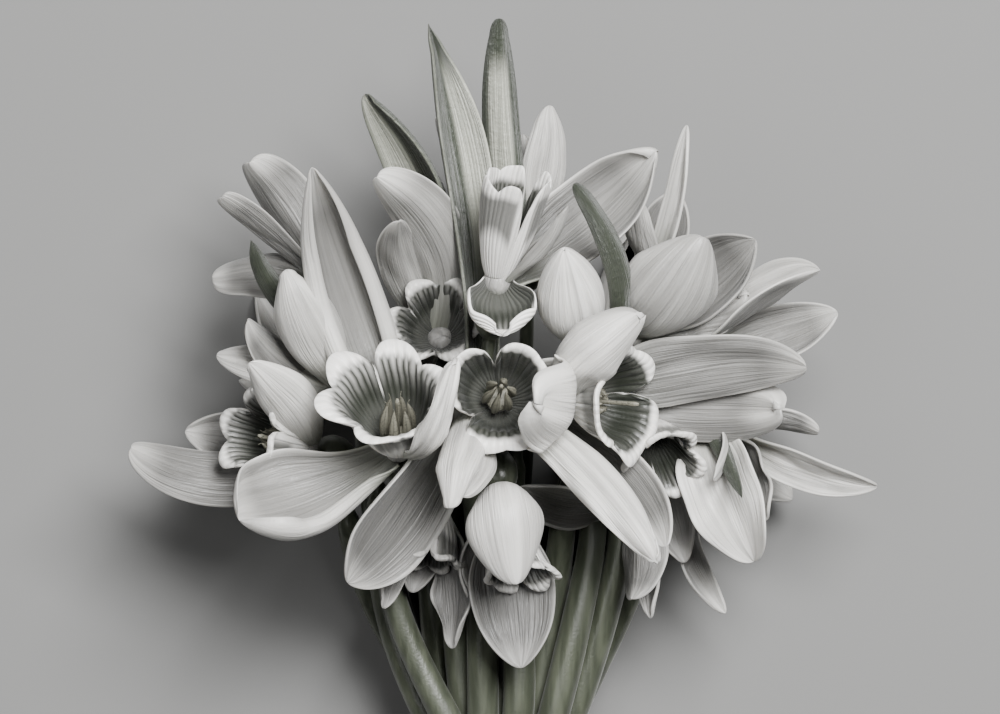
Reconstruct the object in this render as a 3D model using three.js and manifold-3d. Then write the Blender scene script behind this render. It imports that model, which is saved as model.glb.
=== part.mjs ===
// A tied bunch of snowdrops, lying on its back: nodding white flowers on green stems, held by turned twine.
// Millimetres, +Z up from the surface that the bunch lies on. The heads reach towards +Y and the cut ends
// towards -Y. The origin is the middle of the flat spot under the tie.
import * as THREE from "three";
import Module from "manifold-3d";

// ---- driving dimensions ----
const GAP = 0.3; // clear space between neighbouring pieces
const STEM_DIAMETER = 4.3;
const STEM_TOP_RADIUS = 1.6;
const PEDICEL_RADIUS = 0.95; // the thin stalk that a flower nods on
const PEDICEL_LENGTH = 11;
const OVARY_LENGTH = 6;
const OVARY_RADIUS = 2.5;
const RECEPTACLE_RADIUS = 1.9;
const CUP_START = 0.08; // the bell starts at this share of its height
const CLAW_SINK = 1; // the outer tepals spring this far behind the inner ones
const CLAW_START = 1.1; // an outer tepal starts this far out from the flower's base
const DEEP_CLAW_START = 0.4; // and this far where one folds back over the ovary, and for a green blade
const TEPAL_THICKNESS = 0.7;
const CUP_THICKNESS = 1.0;
const LEAF_THICKNESS = 0.8;
const CUT_END_Y = -56; // where the stems were cut
const CUT_END_SPREAD = 7; // by how much the cut ends differ
const FAN_Y = 8; // the stems part above here
const FAN_OUT = 0.4; // by how much of a flower's distance from the middle its stem leans out on arriving
const FAN_LEFT = 0.5; // by how much of that distance a stem leans out on rising, to the left
const FAN_RIGHT = 0.2; // and to the right
const TWINE_RADIUS = 1.1;
const TWINE_TURNS = 4;
const TIE_FLAT = 0.25; // how far the twine is pressed flat where it lies on the surface
const ANTHER_RADIUS = 0.5;
const ANTHER_TIP_RADIUS = 0.3;
const TIPS_APART = 0.9; // the anthers' tips stand at least this far out from the style's middle
const STAMEN_DISC = { radius: 1.7, height: 0.8 };
const CLEFT = 0.32; // how deep the gap between two inner tepals is, as a share of their length
const NOTCH = 0.15; // and the notch in each one's own edge

// ---- how finely the pieces are cut into triangles ----
const TEPAL_ROWS = 4;
const FRONT_COLUMNS = 4; // across an outer tepal of an open front flower
const OTHER_COLUMNS = 2; // across any other outer tepal
const CUP_ROWS = 2;
const CUP_COLUMNS = 4; // across each of a cup's three tepals
const STEM_SIDES = 6;
const STEM_STEPS = 24;
const STEM_KEPT = 6; // every sixth step of a stem's curve is kept
const TWINE_STEPS = 16; // a multiple of four, so that the tie lies on a flat side
const ANTHER_SIDES = 3;
const STYLE_SIDES = 4;

// The bundle under the tie: rows of stems from the lowest up, each row nested in the one below.
const BUNDLE_ROWS = [4, 5, 4, 5, 4];
const PITCH = STEM_DIAMETER + GAP + 0.05;
const ROW_RISE = PITCH * Math.sqrt(0.75);
const LOWEST_STEM_Z = 2 * TWINE_RADIUS - TIE_FLAT + GAP + STEM_DIAMETER / 2;
const BUNDLE_Z = LOWEST_STEM_Z + ((BUNDLE_ROWS.length - 1) / 2) * ROW_RISE;
const HEADS_Z = 26; // the middle of the flower heads lies this high

// ---- the flowers ----
// base is where the tepals spring from, axis is the way the flower faces. Each outer tepal is given by its
// tip and width: roll turns its face round its own length, bend pushes its middle to one side, curve rolls
// it across, bow arches it and hood bends its tip in. cup describes the three short inner tepals: the turn
// of the first one, the mouth's radius, their length, how far the mouth is pushed to one side and how far
// each lip turns out. stamens gives the lengths of the anthers and the style, and how far out the anthers
// stand at foot and top. A flower is marked as folded back where one of its outer tepals bends back over
// the ovary.
const FLOWERS = {
  front_left: {
    base: [-13.6, 45.6, 36],
    axis: [0, 0.62, 0.78],
    outer: [
      {
        tip: [-25.6, 83, 48], width: 13, bow: 0.05, shoulder: 0.4, claw: 0.4, point: 0.8, hood: 0.05,
        bend: [-0.5, 0, -6], fold: 0.3,
      },
      {
        tip: [-34.6, 35.4, 43], width: 16.5, bow: 0.03, curve: 0.7, shoulder: 0.7, point: 0.28, hood: 0.05,
        bend: [0, -1.6, -2], fold: 0.35,
      },
      {
        tip: [-5.8, 57.2, 50], width: 4.8, bow: 0, curve: 1, roll: -90, shoulder: 0.6, claw: 0.6,
        point: 0.4, hood: 0, bend: [0.4, -4.9, 6.7],
      },
    ],
    cup: { roll: 42, radius: 7.3, length: 12.8, shift: [-2.1, 1.8, 1], flares: [1.2, 1, 1.2], cleft: 0.26 },
    stamens: { anthers: 7.4, style: 8, foot: 1.75, top: 1.2 },
  },
  front_mid: {
    base: [-0.2, 51.8, 36],
    axis: [0, 0.15, 0.99],
    outer: [
      {
        tip: [8.6, 50.6, 52.5], width: 15, bow: 0.05, curve: 0.7, roll: 10, shoulder: 0.6, claw: 0.5,
        point: 0.25, hood: 0.22, bend: [3, 0, 0],
      },
      {
        tip: [20.3, 31.4, 51], width: 7.4, curve: 0.9, roll: 180, shoulder: 0.55, claw: 0.6, point: 0.45,
        bend: [1.2, 0.8, 0],
      },
      {
        tip: [22, 32.4, 44], width: 7.6, bow: 0.04, curve: 0.7, shoulder: 0.6, claw: 0.4, point: 0.5,
        bend: [3.6, 1.8, -4],
      },
    ],
    cup: { roll: 52, radius: 6.4, length: 12.2, flares: [0.6, 1.3, 0.4], cleft: 0.5, notch: 0.04 },
    stamens: { anthers: 6, style: 8, foot: 2.5, top: 0.4, shift: [0.5, 0.9, 0] },
  },
  front_right: {
    base: [9.6, 52, 36],
    axis: [0.8, -0.05, 0.6],
    outer: [
      {
        tip: [40.8, 57.2, 38], width: 9.8, bow: 0.05, curve: -0.8, shoulder: 0.42, point: 0.5, hood: 0.08,
        bend: [0, 1, 0],
      },
      {
        tip: [37.2, 50.8, 35], width: 9.5, curve: -0.9, shoulder: 0.65, point: 0.3, hood: 0.06,
        bend: [0, -0.6, -1],
      },
      {
        tip: [17.2, 61, 49.5], width: 12.5, bow: 0.2, curve: 1.4, roll: 95, shoulder: 0.68, claw: 0.75,
        point: 0.24, hood: 0.18, bend: [-1.6, 1, 2],
      },
    ],
    cup: { roll: 15, radius: 6.6, length: 12, flares: [0.9, 1.2, 0.7], cleft: 0.5, notch: 0.06 },
    stamens: { anthers: 3, style: 8.5, foot: 1.35, top: 0.75 },
  },
  hooded_left: {
    base: [-5, 49.5, 35],
    axis: [0, -0.8, 0.6],
    outer: [
      {
        tip: [-7.6, 40.8, 53], width: 9.5, bow: 0.2, curve: 1.4, claw: 0.8, point: 0.42, hood: 0.16,
        bend: [1.8, -2.4, 1],
      },
      { tip: [-20.9, 28, 39], width: 15, curve: 0.3, claw: 0.5, bend: [1.5, -3, 2.5] },
      {
        tip: [-5.6, 39.9, 49.5], width: 7.5, bow: 0.15, curve: 1.2, claw: 0.6, point: 0.45,
        bend: [2.2, -2, 0],
      },
    ],
  },
  upper_cup: {
    foldedBack: true,
    base: [-0.4, 67.8, 40],
    axis: [0.12, 0.92, 0.37],
    outer: [
      { tip: [20.7, 84.4, 37], width: 13, curve: 0.7, roll: 35, point: 0.45, bend: [0, 0, -1.5] },
      { tip: [9.3, 77.5, 46], width: 6, curve: 1.2 },
      {
        tip: [0.3, 60.4, 47], width: 13.5, bow: 0.12, curve: 1.2, shoulder: 0.42, claw: 0.5, point: 0.4,
        bend: [0, 0, 1.2],
      },
    ],
    cup: {
      roll: 30, radius: 4.4, length: 17.2, shift: [1, 0, 0], flares: [0.1, 0.1, 0.1], cleft: 0.55,
      notch: 0.08,
    },
  },
  big_bud: {
    base: [17.5, 61, 33],
    axis: [0.45, 0.5, 0.74],
    outer: [
      {
        tip: [26.9, 72.9, 46], width: 17, bow: 0.22, curve: 1.1, roll: 180, claw: 0.5, point: 0.42,
        hood: 0.05,
      },
      { tip: [34.3, 73.3, 36], width: 12, curve: 0.6 },
      { tip: [32.8, 65.6, 34], width: 7.5, curve: -0.5, point: 0.35, bend: [0, 1, 0] },
    ],
  },
  right_pair: {
    base: [27, 58, 27],
    axis: [0.9, 0.35, 0.25],
    outer: [
      { tip: [42.4, 69.7, 35], width: 11.5, curve: -0.4, bend: [1, -1.5, 0] },
      { tip: [45.6, 63.6, 26], width: 8.5, curve: 0.5 },
      { tip: [38, 56, 20], width: 9 },
    ],
  },
  upright_right: {
    base: [20.7, 70, 25],
    axis: [0.3, 0.9, 0.2],
    outer: [
      {
        tip: [24.9, 88.7, 32], width: 4.2, curve: -0.8, roll: 20, shoulder: 0.35, claw: 0.8,
        bend: [1.4, -0.6, 0],
      },
      { tip: [17.7, 79.3, 34], width: 7 },
      { tip: [24, 80, 14], width: 8 },
    ],
  },
  top: {
    base: [4.5, 75, 21],
    axis: [0.1, 0.98, 0.1],
    outer: [
      { tip: [7, 91.7, 24], width: 8 },
      { tip: [-9.2, 90, 20], width: 8 },
      { tip: [3, 88, 14], width: 8 },
    ],
  },
  upper_left: {
    base: [-23.7, 67.3, 28],
    axis: [-0.75, 0.5, 0.35],
    outer: [
      { tip: [-37.3, 79.5, 31], width: 4.2, curve: -0.5, shoulder: 0.75, point: 0.26, bend: [0, -1, 0] },
      { tip: [-33.6, 84.1, 27], width: 9, curve: -0.5, roll: 20, shoulder: 0.6, point: 0.32 },
      { tip: [-38.9, 68.2, 24], width: 8, curve: -0.6, point: 0.3, bend: [0, 3, 2] },
    ],
  },
  left: {
    base: [-20.7, 53.3, 29],
    axis: [-0.6, 0.5, 0.5],
    outer: [
      {
        tip: [-28.2, 68.8, 41], width: 11.5, curve: 1.2, roll: -90, claw: 0.5, hood: 0.05,
        bend: [-0.8, 0, 1],
      },
      { tip: [-38, 58.3, 30], width: 8, curve: 0.7, roll: 180 },
      { tip: [-34, 62.5, 37], width: 7, curve: -0.5, point: 0.7 },
    ],
  },
  left_cup: {
    base: [-26.3, 45.6, 26],
    axis: [-0.78, 0.2, 0.6],
    outer: [
      { tip: [-49.8, 45.2, 28], width: 9, curve: -0.4, point: 0.45, bend: [1, -2.6, 0] },
      {
        tip: [-33.1, 56.4, 41], width: 10, bow: 0.12, curve: 1.2, roll: -90, claw: 0.6, hood: 0.04,
        bend: [1.5, 0.5, 0],
      },
      { tip: [-42.7, 47.5, 17], width: 9 },
    ],
    cup: { roll: 20, radius: 5.4, length: 13, cleft: 0.42 },
    stamens: { anthers: 4.5, style: 5.5, foot: 1.35, top: 0.75 },
  },
  shaded_cup: {
    base: [-8, 60, 27],
    axis: [-0.1, 0.35, 0.93],
    outer: [
      { tip: [-13.6, 76.2, 43.5], width: 6.5, curve: -0.7, shoulder: 0.4, point: 0.75, bend: [-1.6, 0, 0] },
      {
        tip: [-16.3, 81.6, 44], width: 10, bow: 0.05, curve: -0.7, shoulder: 0.6, claw: 0.6, point: 0.45,
        hood: 0, bend: [5, 0.5, 1.5],
      },
      { tip: [-17, 53, 24], width: 9 },
    ],
    cup: { roll: 0, radius: 5.3, length: 10 },
  },
  bud: {
    base: [10.2, 60, 36],
    axis: [-0.1, 0.68, 0.72],
    bud: { length: 17.4, width: 8.6, roll: 20 },
  },
  hanging: {
    foldedBack: true,
    base: [0.4, 37.8, 33],
    axis: [0.1, -0.9, 0.42],
    outer: [
      {
        tip: [2.2, 28, 45], width: 15, bow: 0.32, curve: 1.3, shoulder: 0.76, claw: 0.55, point: 0.38,
        bend: [-0.7, 2.5, 2.2],
      },
      { tip: [2.8, 16, 31], width: 12.5, curve: 0.5 },
      { tip: [-4, 25, 28], width: 8 },
    ],
    cup: { roll: 0, radius: 4.2, length: 14, shift: [1.8, 0, -2.5], flares: [0.5, 0.8, 0.8] },
  },
  low_left: {
    base: [-8.5, 38, 28.5],
    axis: [-0.15, -0.95, 0.25],
    outer: [
      { tip: [-16, 24, 28], width: 6 },
      { tip: [-6, 18.5, 28], width: 8 },
      { tip: [-12, 26, 25], width: 7 },
    ],
    cup: { roll: 60, radius: 3.8, length: 11 },
  },
  low_right_cup: {
    base: [19.8, 48.5, 28],
    axis: [0.25, -0.6, 0.76],
    outer: [
      { tip: [28.8, 41.5, 36], width: 6, bend: [3.6, 1, -2] },
      { tip: [25, 30, 22], width: 8 },
      { tip: [33, 36, 22], width: 9 },
    ],
    cup: { roll: 0, radius: 4.8, length: 11, shift: [0.3, -0.5, 0], cleft: 0.4 },
  },
  low_right: {
    base: [17.5, 38, 25],
    axis: [-0.2, -0.8, 0.5],
    outer: [
      { tip: [2.6, 40.8, 32], width: 13, curve: 0.4, bend: [0, -3, 0] },
      { tip: [18, 25, 28], width: 8, curve: -0.4 },
      { tip: [20.7, 22.4, 22], width: 6 },
    ],
  },
  right_low: {
    base: [27.3, 50, 22],
    axis: [0.35, -0.9, 0.2],
    outer: [
      { tip: [34, 30.4, 30], width: 12, curve: -0.6, bend: [0, 0, 3] },
      { tip: [36.4, 35.7, 20], width: 10 },
      { tip: [29.9, 22.9, 22], width: 6, bend: [-2, 0, -2] },
    ],
  },
  right_tips: {
    base: [31, 48, 15],
    axis: [0.9, -0.3, 0.1],
    outer: [
      { tip: [51.1, 39.9, 20], width: 6.5, curve: -0.6 },
      { tip: [43.6, 47.7, 13], width: 4.5, curve: -0.5, claw: 0.5, point: 0.35 },
      { tip: [40, 38, 6], width: 8 },
    ],
  },
  back_left: {
    base: [-18, 51, 10],
    axis: [-0.6, 0.75, -0.3],
    outer: [
      { tip: [-34, 66, -0.3], width: 11 },
      { tip: [-20, 74, -0.4], width: 11 },
      { tip: [-36, 54, 10], width: 9 },
    ],
  },
  back_right: {
    base: [15, 54, 11],
    axis: [0.6, 0.75, -0.3],
    outer: [
      { tip: [34, 66, -0.3], width: 11 },
      { tip: [18, 76, -0.4], width: 11 },
      { tip: [36, 54, 10], width: 9 },
    ],
  },
};

// Green blades that grow from the stems among the flowers: five spathes, and on the stem of the shaded cup
// a leaf. from is how far up the free part of its stem a blade starts.
const GREEN_BLADES = {
  upper_cup: {
    from: 0.8, facing: [0.35, 0, 0.95], tip: [-9.6, 102.4, 33], width: 9.5, curve: 0.9, shoulder: 0.62,
    point: 1.2, bend: [2.6, 0, 0],
  },
  top: {
    from: 0.9, facing: [0, 0, -1], tip: [-0.1, 103.3, 30], width: 6.5, curve: 1.1, point: 0.45,
    bend: [-1.2, 0, 0],
  },
  upper_left: {
    from: 0.85, facing: [0, 0, -1], tip: [-33.2, 73.3, 38], width: 4.2, curve: 1.2, bend: [-2.6, -1.2, 0],
  },
  shaded_cup: {
    from: 0.75, facing: [-0.5, 0.1, 0.8], tip: [-17, 93.8, 35], width: 12, curve: 1, point: 0.5,
    hood: 0.04, bend: [4.3, 0, 3],
  },
  bud: {
    from: 0.95, facing: [-0.3, 0, -0.9], tip: [9.8, 80.7, 45], width: 4.4, curve: 1.2, point: 0.4,
    bend: [5.4, -1, 4],
  },
  right_low: { from: 0.8, facing: [0, 0, -1], tip: [32.3, 38.9, 38], width: 2.8, curve: 1.2 },
};

const wasm = await Module();
wasm.setup();

// ---- small helpers ----
const vec = (list) => new THREE.Vector3(...list);
const degrees = (angle) => THREE.MathUtils.degToRad(angle);
const clamp01 = (value) => Math.min(1, Math.max(0, value));
const NOWHERE = [0, 0, 0];
const ease = (value) => value * value * (3 - 2 * value);

// Three directions at right angles: along the axis, and two across it, the first as near +Y as it can be.
function crossFrame(axis) {
  const along = vec(axis).normalize();
  const up = Math.abs(along.y) < 0.85 ? new THREE.Vector3(0, 1, 0) : new THREE.Vector3(0, 0, 1);
  const first = up.addScaledVector(along, -up.dot(along)).normalize();
  return { along, first, second: new THREE.Vector3().crossVectors(first, along) };
}

// The direction across the axis that is turned by the angle from the frame's first direction.
function turned(frame, angle) {
  return frame.first.clone().multiplyScalar(Math.cos(angle)).addScaledVector(frame.second, Math.sin(angle));
}

// A closed solid from loose corner positions and triangles.
function solid(points, triangles) {
  const vertProperties = new Float32Array(points.flatMap((point) => [point.x, point.y, point.z]));
  const triVerts = new Uint32Array(triangles.flat());
  return new wasm.Manifold(new wasm.Mesh({ numProp: 3, vertProperties, triVerts }));
}

// A solid blade: a grid of points given thickness both ways along its own normal. grow widens it all round.
function blade(grid, thickness, grow = 0) {
  const rows = grid.length;
  const columns = grid[0].length;
  const at = (i, j) => grid[Math.min(rows - 1, Math.max(0, i))][Math.min(columns - 1, Math.max(0, j))];
  const half = thickness / 2 + grow;
  const upper = [];
  const lower = [];
  for (let i = 0; i < rows; i++) {
    for (let j = 0; j < columns; j++) {
      const across = at(i, j + 1).clone().sub(at(i, j - 1));
      const along = at(i + 1, j).clone().sub(at(i - 1, j));
      const normal = new THREE.Vector3().crossVectors(across, along).normalize();
      const point = at(i, j).clone();
      if (j === 0 || j === columns - 1) point.addScaledVector(across.normalize(), j === 0 ? -grow : grow);
      if (i === 0 || i === rows - 1) point.addScaledVector(along.normalize(), i === 0 ? -grow : grow);
      upper.push(point.clone().addScaledVector(normal, half));
      lower.push(point.addScaledVector(normal, -half));
    }
  }
  const top = (i, j) => i * columns + j;
  const under = (i, j) => rows * columns + i * columns + j;
  const triangles = [];
  for (let i = 0; i < rows - 1; i++) {
    for (let j = 0; j < columns - 1; j++) {
      triangles.push([top(i, j), top(i, j + 1), top(i + 1, j + 1)]);
      triangles.push([top(i, j), top(i + 1, j + 1), top(i + 1, j)]);
      triangles.push([under(i, j), under(i + 1, j + 1), under(i, j + 1)]);
      triangles.push([under(i, j), under(i + 1, j), under(i + 1, j + 1)]);
    }
  }
  const wall = (a, b, c, d) => triangles.push([a, b, c], [a, c, d]);
  const last = { row: rows - 1, column: columns - 1 };
  for (let i = 0; i < last.row; i++) {
    wall(top(i, 0), top(i + 1, 0), under(i + 1, 0), under(i, 0));
    wall(top(i + 1, last.column), top(i, last.column), under(i, last.column), under(i + 1, last.column));
  }
  for (let j = 0; j < last.column; j++) {
    wall(top(0, j), under(0, j), under(0, j + 1), top(0, j + 1));
    wall(under(last.row, j), top(last.row, j), top(last.row, j + 1), under(last.row, j + 1));
  }
  return solid([...upper, ...lower], triangles);
}

// A round bar along a list of points, with a radius at each point, closed at both ends.
function bar(points, radii, sides) {
  const corners = [];
  const side = new THREE.Vector3(1, 0, 0);
  points.forEach((point, i) => {
    const after = points[Math.min(i + 1, points.length - 1)];
    const tangent = after.clone().sub(points[Math.max(i - 1, 0)]).normalize();
    side.addScaledVector(tangent, -side.dot(tangent)).normalize();
    const other = new THREE.Vector3().crossVectors(tangent, side);
    for (let k = 0; k < sides; k++) {
      const angle = (2 * Math.PI * k) / sides;
      const spoke = side.clone().multiplyScalar(Math.cos(angle)).addScaledVector(other, Math.sin(angle));
      corners.push(point.clone().addScaledVector(spoke, radii[i]));
    }
  });
  return barSkin(corners, sides);
}

// The closed skin of a bar through rings of corners, with a flat cap on each end. Mirrored rings turn the
// other way round.
function barSkin(corners, sides, mirrored = false) {
  const triangles = [];
  const end = corners.length - sides;
  for (let i = 0; i < end; i += sides) {
    for (let k = 0; k < sides; k++) {
      const a = i + k;
      const b = i + ((k + 1) % sides);
      triangles.push([a, b, b + sides], [a, b + sides, a + sides]);
    }
  }
  for (let k = 1; k < sides - 1; k++) {
    triangles.push([0, k + 1, k], [end, end + k, end + k + 1]);
  }
  return solid(corners, mirrored ? triangles.map(([a, b, c]) => [a, c, b]) : triangles);
}

// A closed skin through rings of equally many points, the last ring joined back to the first.
function ringSkin(rings) {
  const count = rings[0].length;
  const triangles = [];
  rings.forEach((_, i) => {
    const next = (i + 1) % rings.length;
    for (let k = 0; k < count; k++) {
      const [a, b] = [i * count + k, i * count + ((k + 1) % count)];
      const [c, d] = [next * count + ((k + 1) % count), next * count + k];
      triangles.push([a, c, b], [a, d, c]);
    }
  });
  return solid(rings.flat(), triangles);
}

const joined = (solids) => solids.reduce((whole, piece) => whole.add(piece));

// ---- tepals ----
// An outer tepal is narrow at its claw, widest at its shoulder and closes to its point. Its spine is one
// arc from the base to the tip, whose last part the hood bends in, and its section is an arc, tighter at
// the claw, whose margins can fold in.
function outerTepalGrid(flower, tepal) {
  const { tip, width, bow = 0.1, curve = 0.8, roll = 0, bend = NOWHERE, hood = 0.03, fold = 0 } = tepal;
  const { shoulder = 0.5, claw = 0.3, point = 0.6 } = tepal;
  const base = vec(flower.base).addScaledVector(vec(flower.axis).normalize(), -CLAW_SINK);
  const chord = vec(tip).sub(base);
  const length = chord.length();
  const straight = chord.clone().normalize();
  const axis = vec(flower.axis).normalize();
  const inward = axis.addScaledVector(straight, -axis.dot(straight)).normalize();
  const sideways = new THREE.Vector3().crossVectors(straight, inward);
  const turn = degrees(roll);
  const facing = inward.multiplyScalar(Math.cos(turn)).addScaledVector(sideways, Math.sin(turn));
  const belly = facing.clone().multiplyScalar(-bow * length).add(vec(bend));
  const halfWidth = (t) => {
    const rise = claw + (1 - claw) * ease(clamp01(t / shoulder)) ** 0.8;
    const fall = (1 - clamp01((t - shoulder) / (1 - shoulder)) ** 2.2) ** point;
    return (rise * Math.max(fall, 0.14) * width) / 2;
  };
  const grid = [];
  const columns = flower.stamens ? FRONT_COLUMNS : OTHER_COLUMNS;
  const rooted = (flower.foldedBack ? DEEP_CLAW_START : CLAW_START) / length;
  for (let i = 0; i <= TEPAL_ROWS; i++) {
    const t = rooted + ((1 - rooted) * i) / TEPAL_ROWS;
    const centre = base.clone().addScaledVector(chord, t).addScaledVector(belly, 4 * t * (1 - t));
    centre.addScaledVector(facing, hood * length * clamp01((t - 0.72) / 0.28) ** 2);
    const tangent = chord.clone().addScaledVector(belly, 4 * (1 - 2 * t)).normalize();
    const normal = facing.clone().addScaledVector(tangent, -facing.dot(tangent)).normalize();
    const side = new THREE.Vector3().crossVectors(tangent, normal);
    const half = halfWidth(t);
    const bendAngle = Math.min(curve * (1 + 0.5 * (1 - t) ** 2), half / 1.1);
    const row = [];
    for (let j = 0; j <= columns; j++) {
      const u = (2 * j) / columns - 1;
      const across = (half * Math.sin(u * bendAngle)) / bendAngle;
      const edge = fold * half * clamp01((Math.abs(u) - 0.6) / 0.4) ** 2;
      const lift = (half * (1 - Math.cos(u * bendAngle))) / bendAngle + edge;
      row.push(centre.clone().addScaledVector(side, across).addScaledVector(normal, lift));
    }
    grid.push(row);
  }
  return grid;
}

// The three inner tepals stand as one bell round the flower's axis: it opens quickly, stands up, and turns
// its lips out. Each tepal ends in two round lobes with a notch between them, and the bell is cleft where
// two tepals meet.
function cup(flower, grow = 0) {
  const frame = crossFrame(flower.axis);
  const base = vec(flower.base);
  const { roll, radius: mouth, length, shift = NOWHERE, flares = [1, 1, 1] } = flower.cup;
  const { cleft = CLEFT, notch = NOTCH } = flower.cup;
  const columns = 3 * CUP_COLUMNS;
  const half = CUP_THICKNESS / 2 + grow;
  const rings = [];
  const place = (s, u, angle, flare) => {
    const lip = flare * clamp01((s - 0.7) / 0.3) ** 2;
    const bulge = 0.9 * (1 - u * u) * s;
    const radius = 1 + (mouth * 0.82 - 1) * (1 - (1 - s) ** 2) + mouth * 0.3 * lip + bulge;
    const height = 0.3 + length * 0.88 * s ** 1.2 - 0.16 * length * lip;
    const out = turned(frame, angle).multiplyScalar(radius).addScaledVector(vec(shift), s * s);
    return out.add(base).addScaledVector(frame.along, height);
  };
  for (const side of [1, -1]) {
    for (let i = 0; i <= CUP_ROWS; i++) {
      const ring = [];
      for (let k = 0; k < columns; k++) {
        const u = (2 * (k % CUP_COLUMNS)) / CUP_COLUMNS - 1;
        const lobe = 2 * Math.abs(u) - 1;
        const edge = 1 - (lobe < 0 ? notch : cleft) * lobe * lobe;
        const s = (CUP_START + ((1 - CUP_START) * i) / CUP_ROWS) * edge;
        const angle = degrees(roll - 60) + (2 * Math.PI * k) / columns;
        const flare = flares[Math.floor(k / CUP_COLUMNS)];
        const point = place(s, u, angle, flare);
        const rise = place(s + 0.02, u, angle, flare).sub(point);
        const round = turned(frame, angle + Math.PI / 2);
        const outward = new THREE.Vector3().crossVectors(rise, round).normalize();
        if (i === CUP_ROWS) point.addScaledVector(rise.normalize(), grow);
        ring.push(point.addScaledVector(outward, side * half));
      }
      rings.push(ring);
    }
  }
  return ringSkin(rings.slice(0, CUP_ROWS + 1).concat(rings.slice(CUP_ROWS + 1).reverse()));
}

// A closed bud is an egg whose three tepals lie edge to edge, each bulging a little.
function closedBud(flower, grow = 0) {
  const { length, width, roll } = flower.bud;
  const frame = crossFrame(flower.axis);
  const rings = 7;
  const sides = 9;
  const corners = [];
  for (let i = 0; i < rings; i++) {
    const t = i / (rings - 1);
    const girth = (width / 2) * Math.max(0.14, Math.sin(Math.PI * t ** 0.9) ** 0.75);
    const centre = vec(flower.base).addScaledVector(frame.along, t * length + grow * (2 * t - 1));
    for (let k = 0; k < sides; k++) {
      const bulge = k % 3 === 0 ? 0.93 : 1;
      const spoke = turned(frame, degrees(roll) + (2 * Math.PI * k) / sides);
      corners.push(centre.clone().addScaledVector(spoke, girth * bulge + grow));
    }
  }
  return barSkin(corners, sides, true);
}

// The white of one flower: its outer tepals, its cup of inner tepals, and the receptacle that they spring
// from.
function bloom(flower, grow = 0) {
  const grids = (flower.outer ?? []).map((tepal) => outerTepalGrid(flower, tepal));
  const pieces = grids.map((grid) => blade(grid, TEPAL_THICKNESS, grow));
  if (flower.bud) pieces.push(closedBud(flower, grow));
  if (flower.cup) pieces.push(cup(flower, grow));
  const { along } = crossFrame(flower.axis);
  const reach = RECEPTACLE_RADIUS + grow;
  const knob = [-1, 1].map((step) => vec(flower.base).addScaledVector(along, step * reach));
  pieces.push(bar(knob, [reach * 0.9, reach * 0.6], 6));
  return joined(pieces);
}

// ---- stems ----
// The places of the stems in the bundle, row by row.
function bundlePlaces() {
  return BUNDLE_ROWS.flatMap((count, row) =>
    Array.from({ length: count }, (_, k) => ({
      x: (k - (count - 1) / 2) * PITCH,
      z: BUNDLE_Z + (row - (BUNDLE_ROWS.length - 1) / 2) * ROW_RISE,
    })),
  );
}

// Each flower's stem stands on its own side of the bundle: any two swap places as long as that brings them
// nearer to where their flowers are, seen along the stems.
function placesByFlower() {
  const flowers = Object.entries(FLOWERS);
  const wish = ({ base }) => ({ x: base[0] * 0.45, z: BUNDLE_Z + (base[2] - HEADS_Z) * 0.6 });
  const wishes = flowers.map(([, flower]) => wish(flower));
  const places = bundlePlaces();
  const cost = (k, place) => (wishes[k].x - place.x) ** 2 + (wishes[k].z - place.z) ** 2;
  let better = true;
  while (better) {
    better = false;
    for (let a = 0; a < places.length; a++) {
      for (let b = a + 1; b < places.length; b++) {
        const kept = cost(a, places[a]) + cost(b, places[b]);
        const swapped = cost(a, places[b]) + cost(b, places[a]);
        if (swapped < kept - 1e-6) {
          [places[a], places[b]] = [places[b], places[a]];
          better = true;
        }
      }
    }
  }
  return Object.fromEntries(flowers.map(([name], k) => [name, places[k]]));
}

// The free part of a stem: one curve from the bundle to the back of the ovary, leaning away from the
// middle.
function freeCurve(place, flower) {
  const { along } = crossFrame(flower.axis);
  const start = new THREE.Vector3(place.x, FAN_Y, place.z);
  const end = vec(flower.base).addScaledVector(along, -(RECEPTACLE_RADIUS + GAP + 0.1 + OVARY_LENGTH));
  const reach = start.distanceTo(end);
  const spread = end.clone().sub(start).normalize().multiply(new THREE.Vector3(0.3, 1, 0.2));
  const out = flower.base[0];
  const rising = start.clone().addScaledVector(spread, 0.4 * reach);
  rising.x += out * (out < 0 ? FAN_LEFT : FAN_RIGHT);
  const arriving = end.clone().addScaledVector(along, -Math.min(0.3 * reach, 11));
  arriving.x += out * FAN_OUT;
  return new THREE.CubicBezierCurve3(start, rising, arriving, end).getPoints(STEM_STEPS);
}

// The radius of a stem at a distance back from its end: thin pedicel, then the scape, thickening downwards.
function stemRadius(back) {
  if (back < PEDICEL_LENGTH) return PEDICEL_RADIUS;
  const down = clamp01((back - PEDICEL_LENGTH) / 30);
  return STEM_TOP_RADIUS + (STEM_DIAMETER / 2 - STEM_TOP_RADIUS) * down;
}

// The distance back from a curve's end, at each of its points.
function distancesBack(points) {
  const back = points.map(() => 0);
  for (let i = points.length - 2; i >= 0; i--) {
    back[i] = back[i + 1] + points[i].distanceTo(points[i + 1]);
  }
  return back;
}

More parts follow.
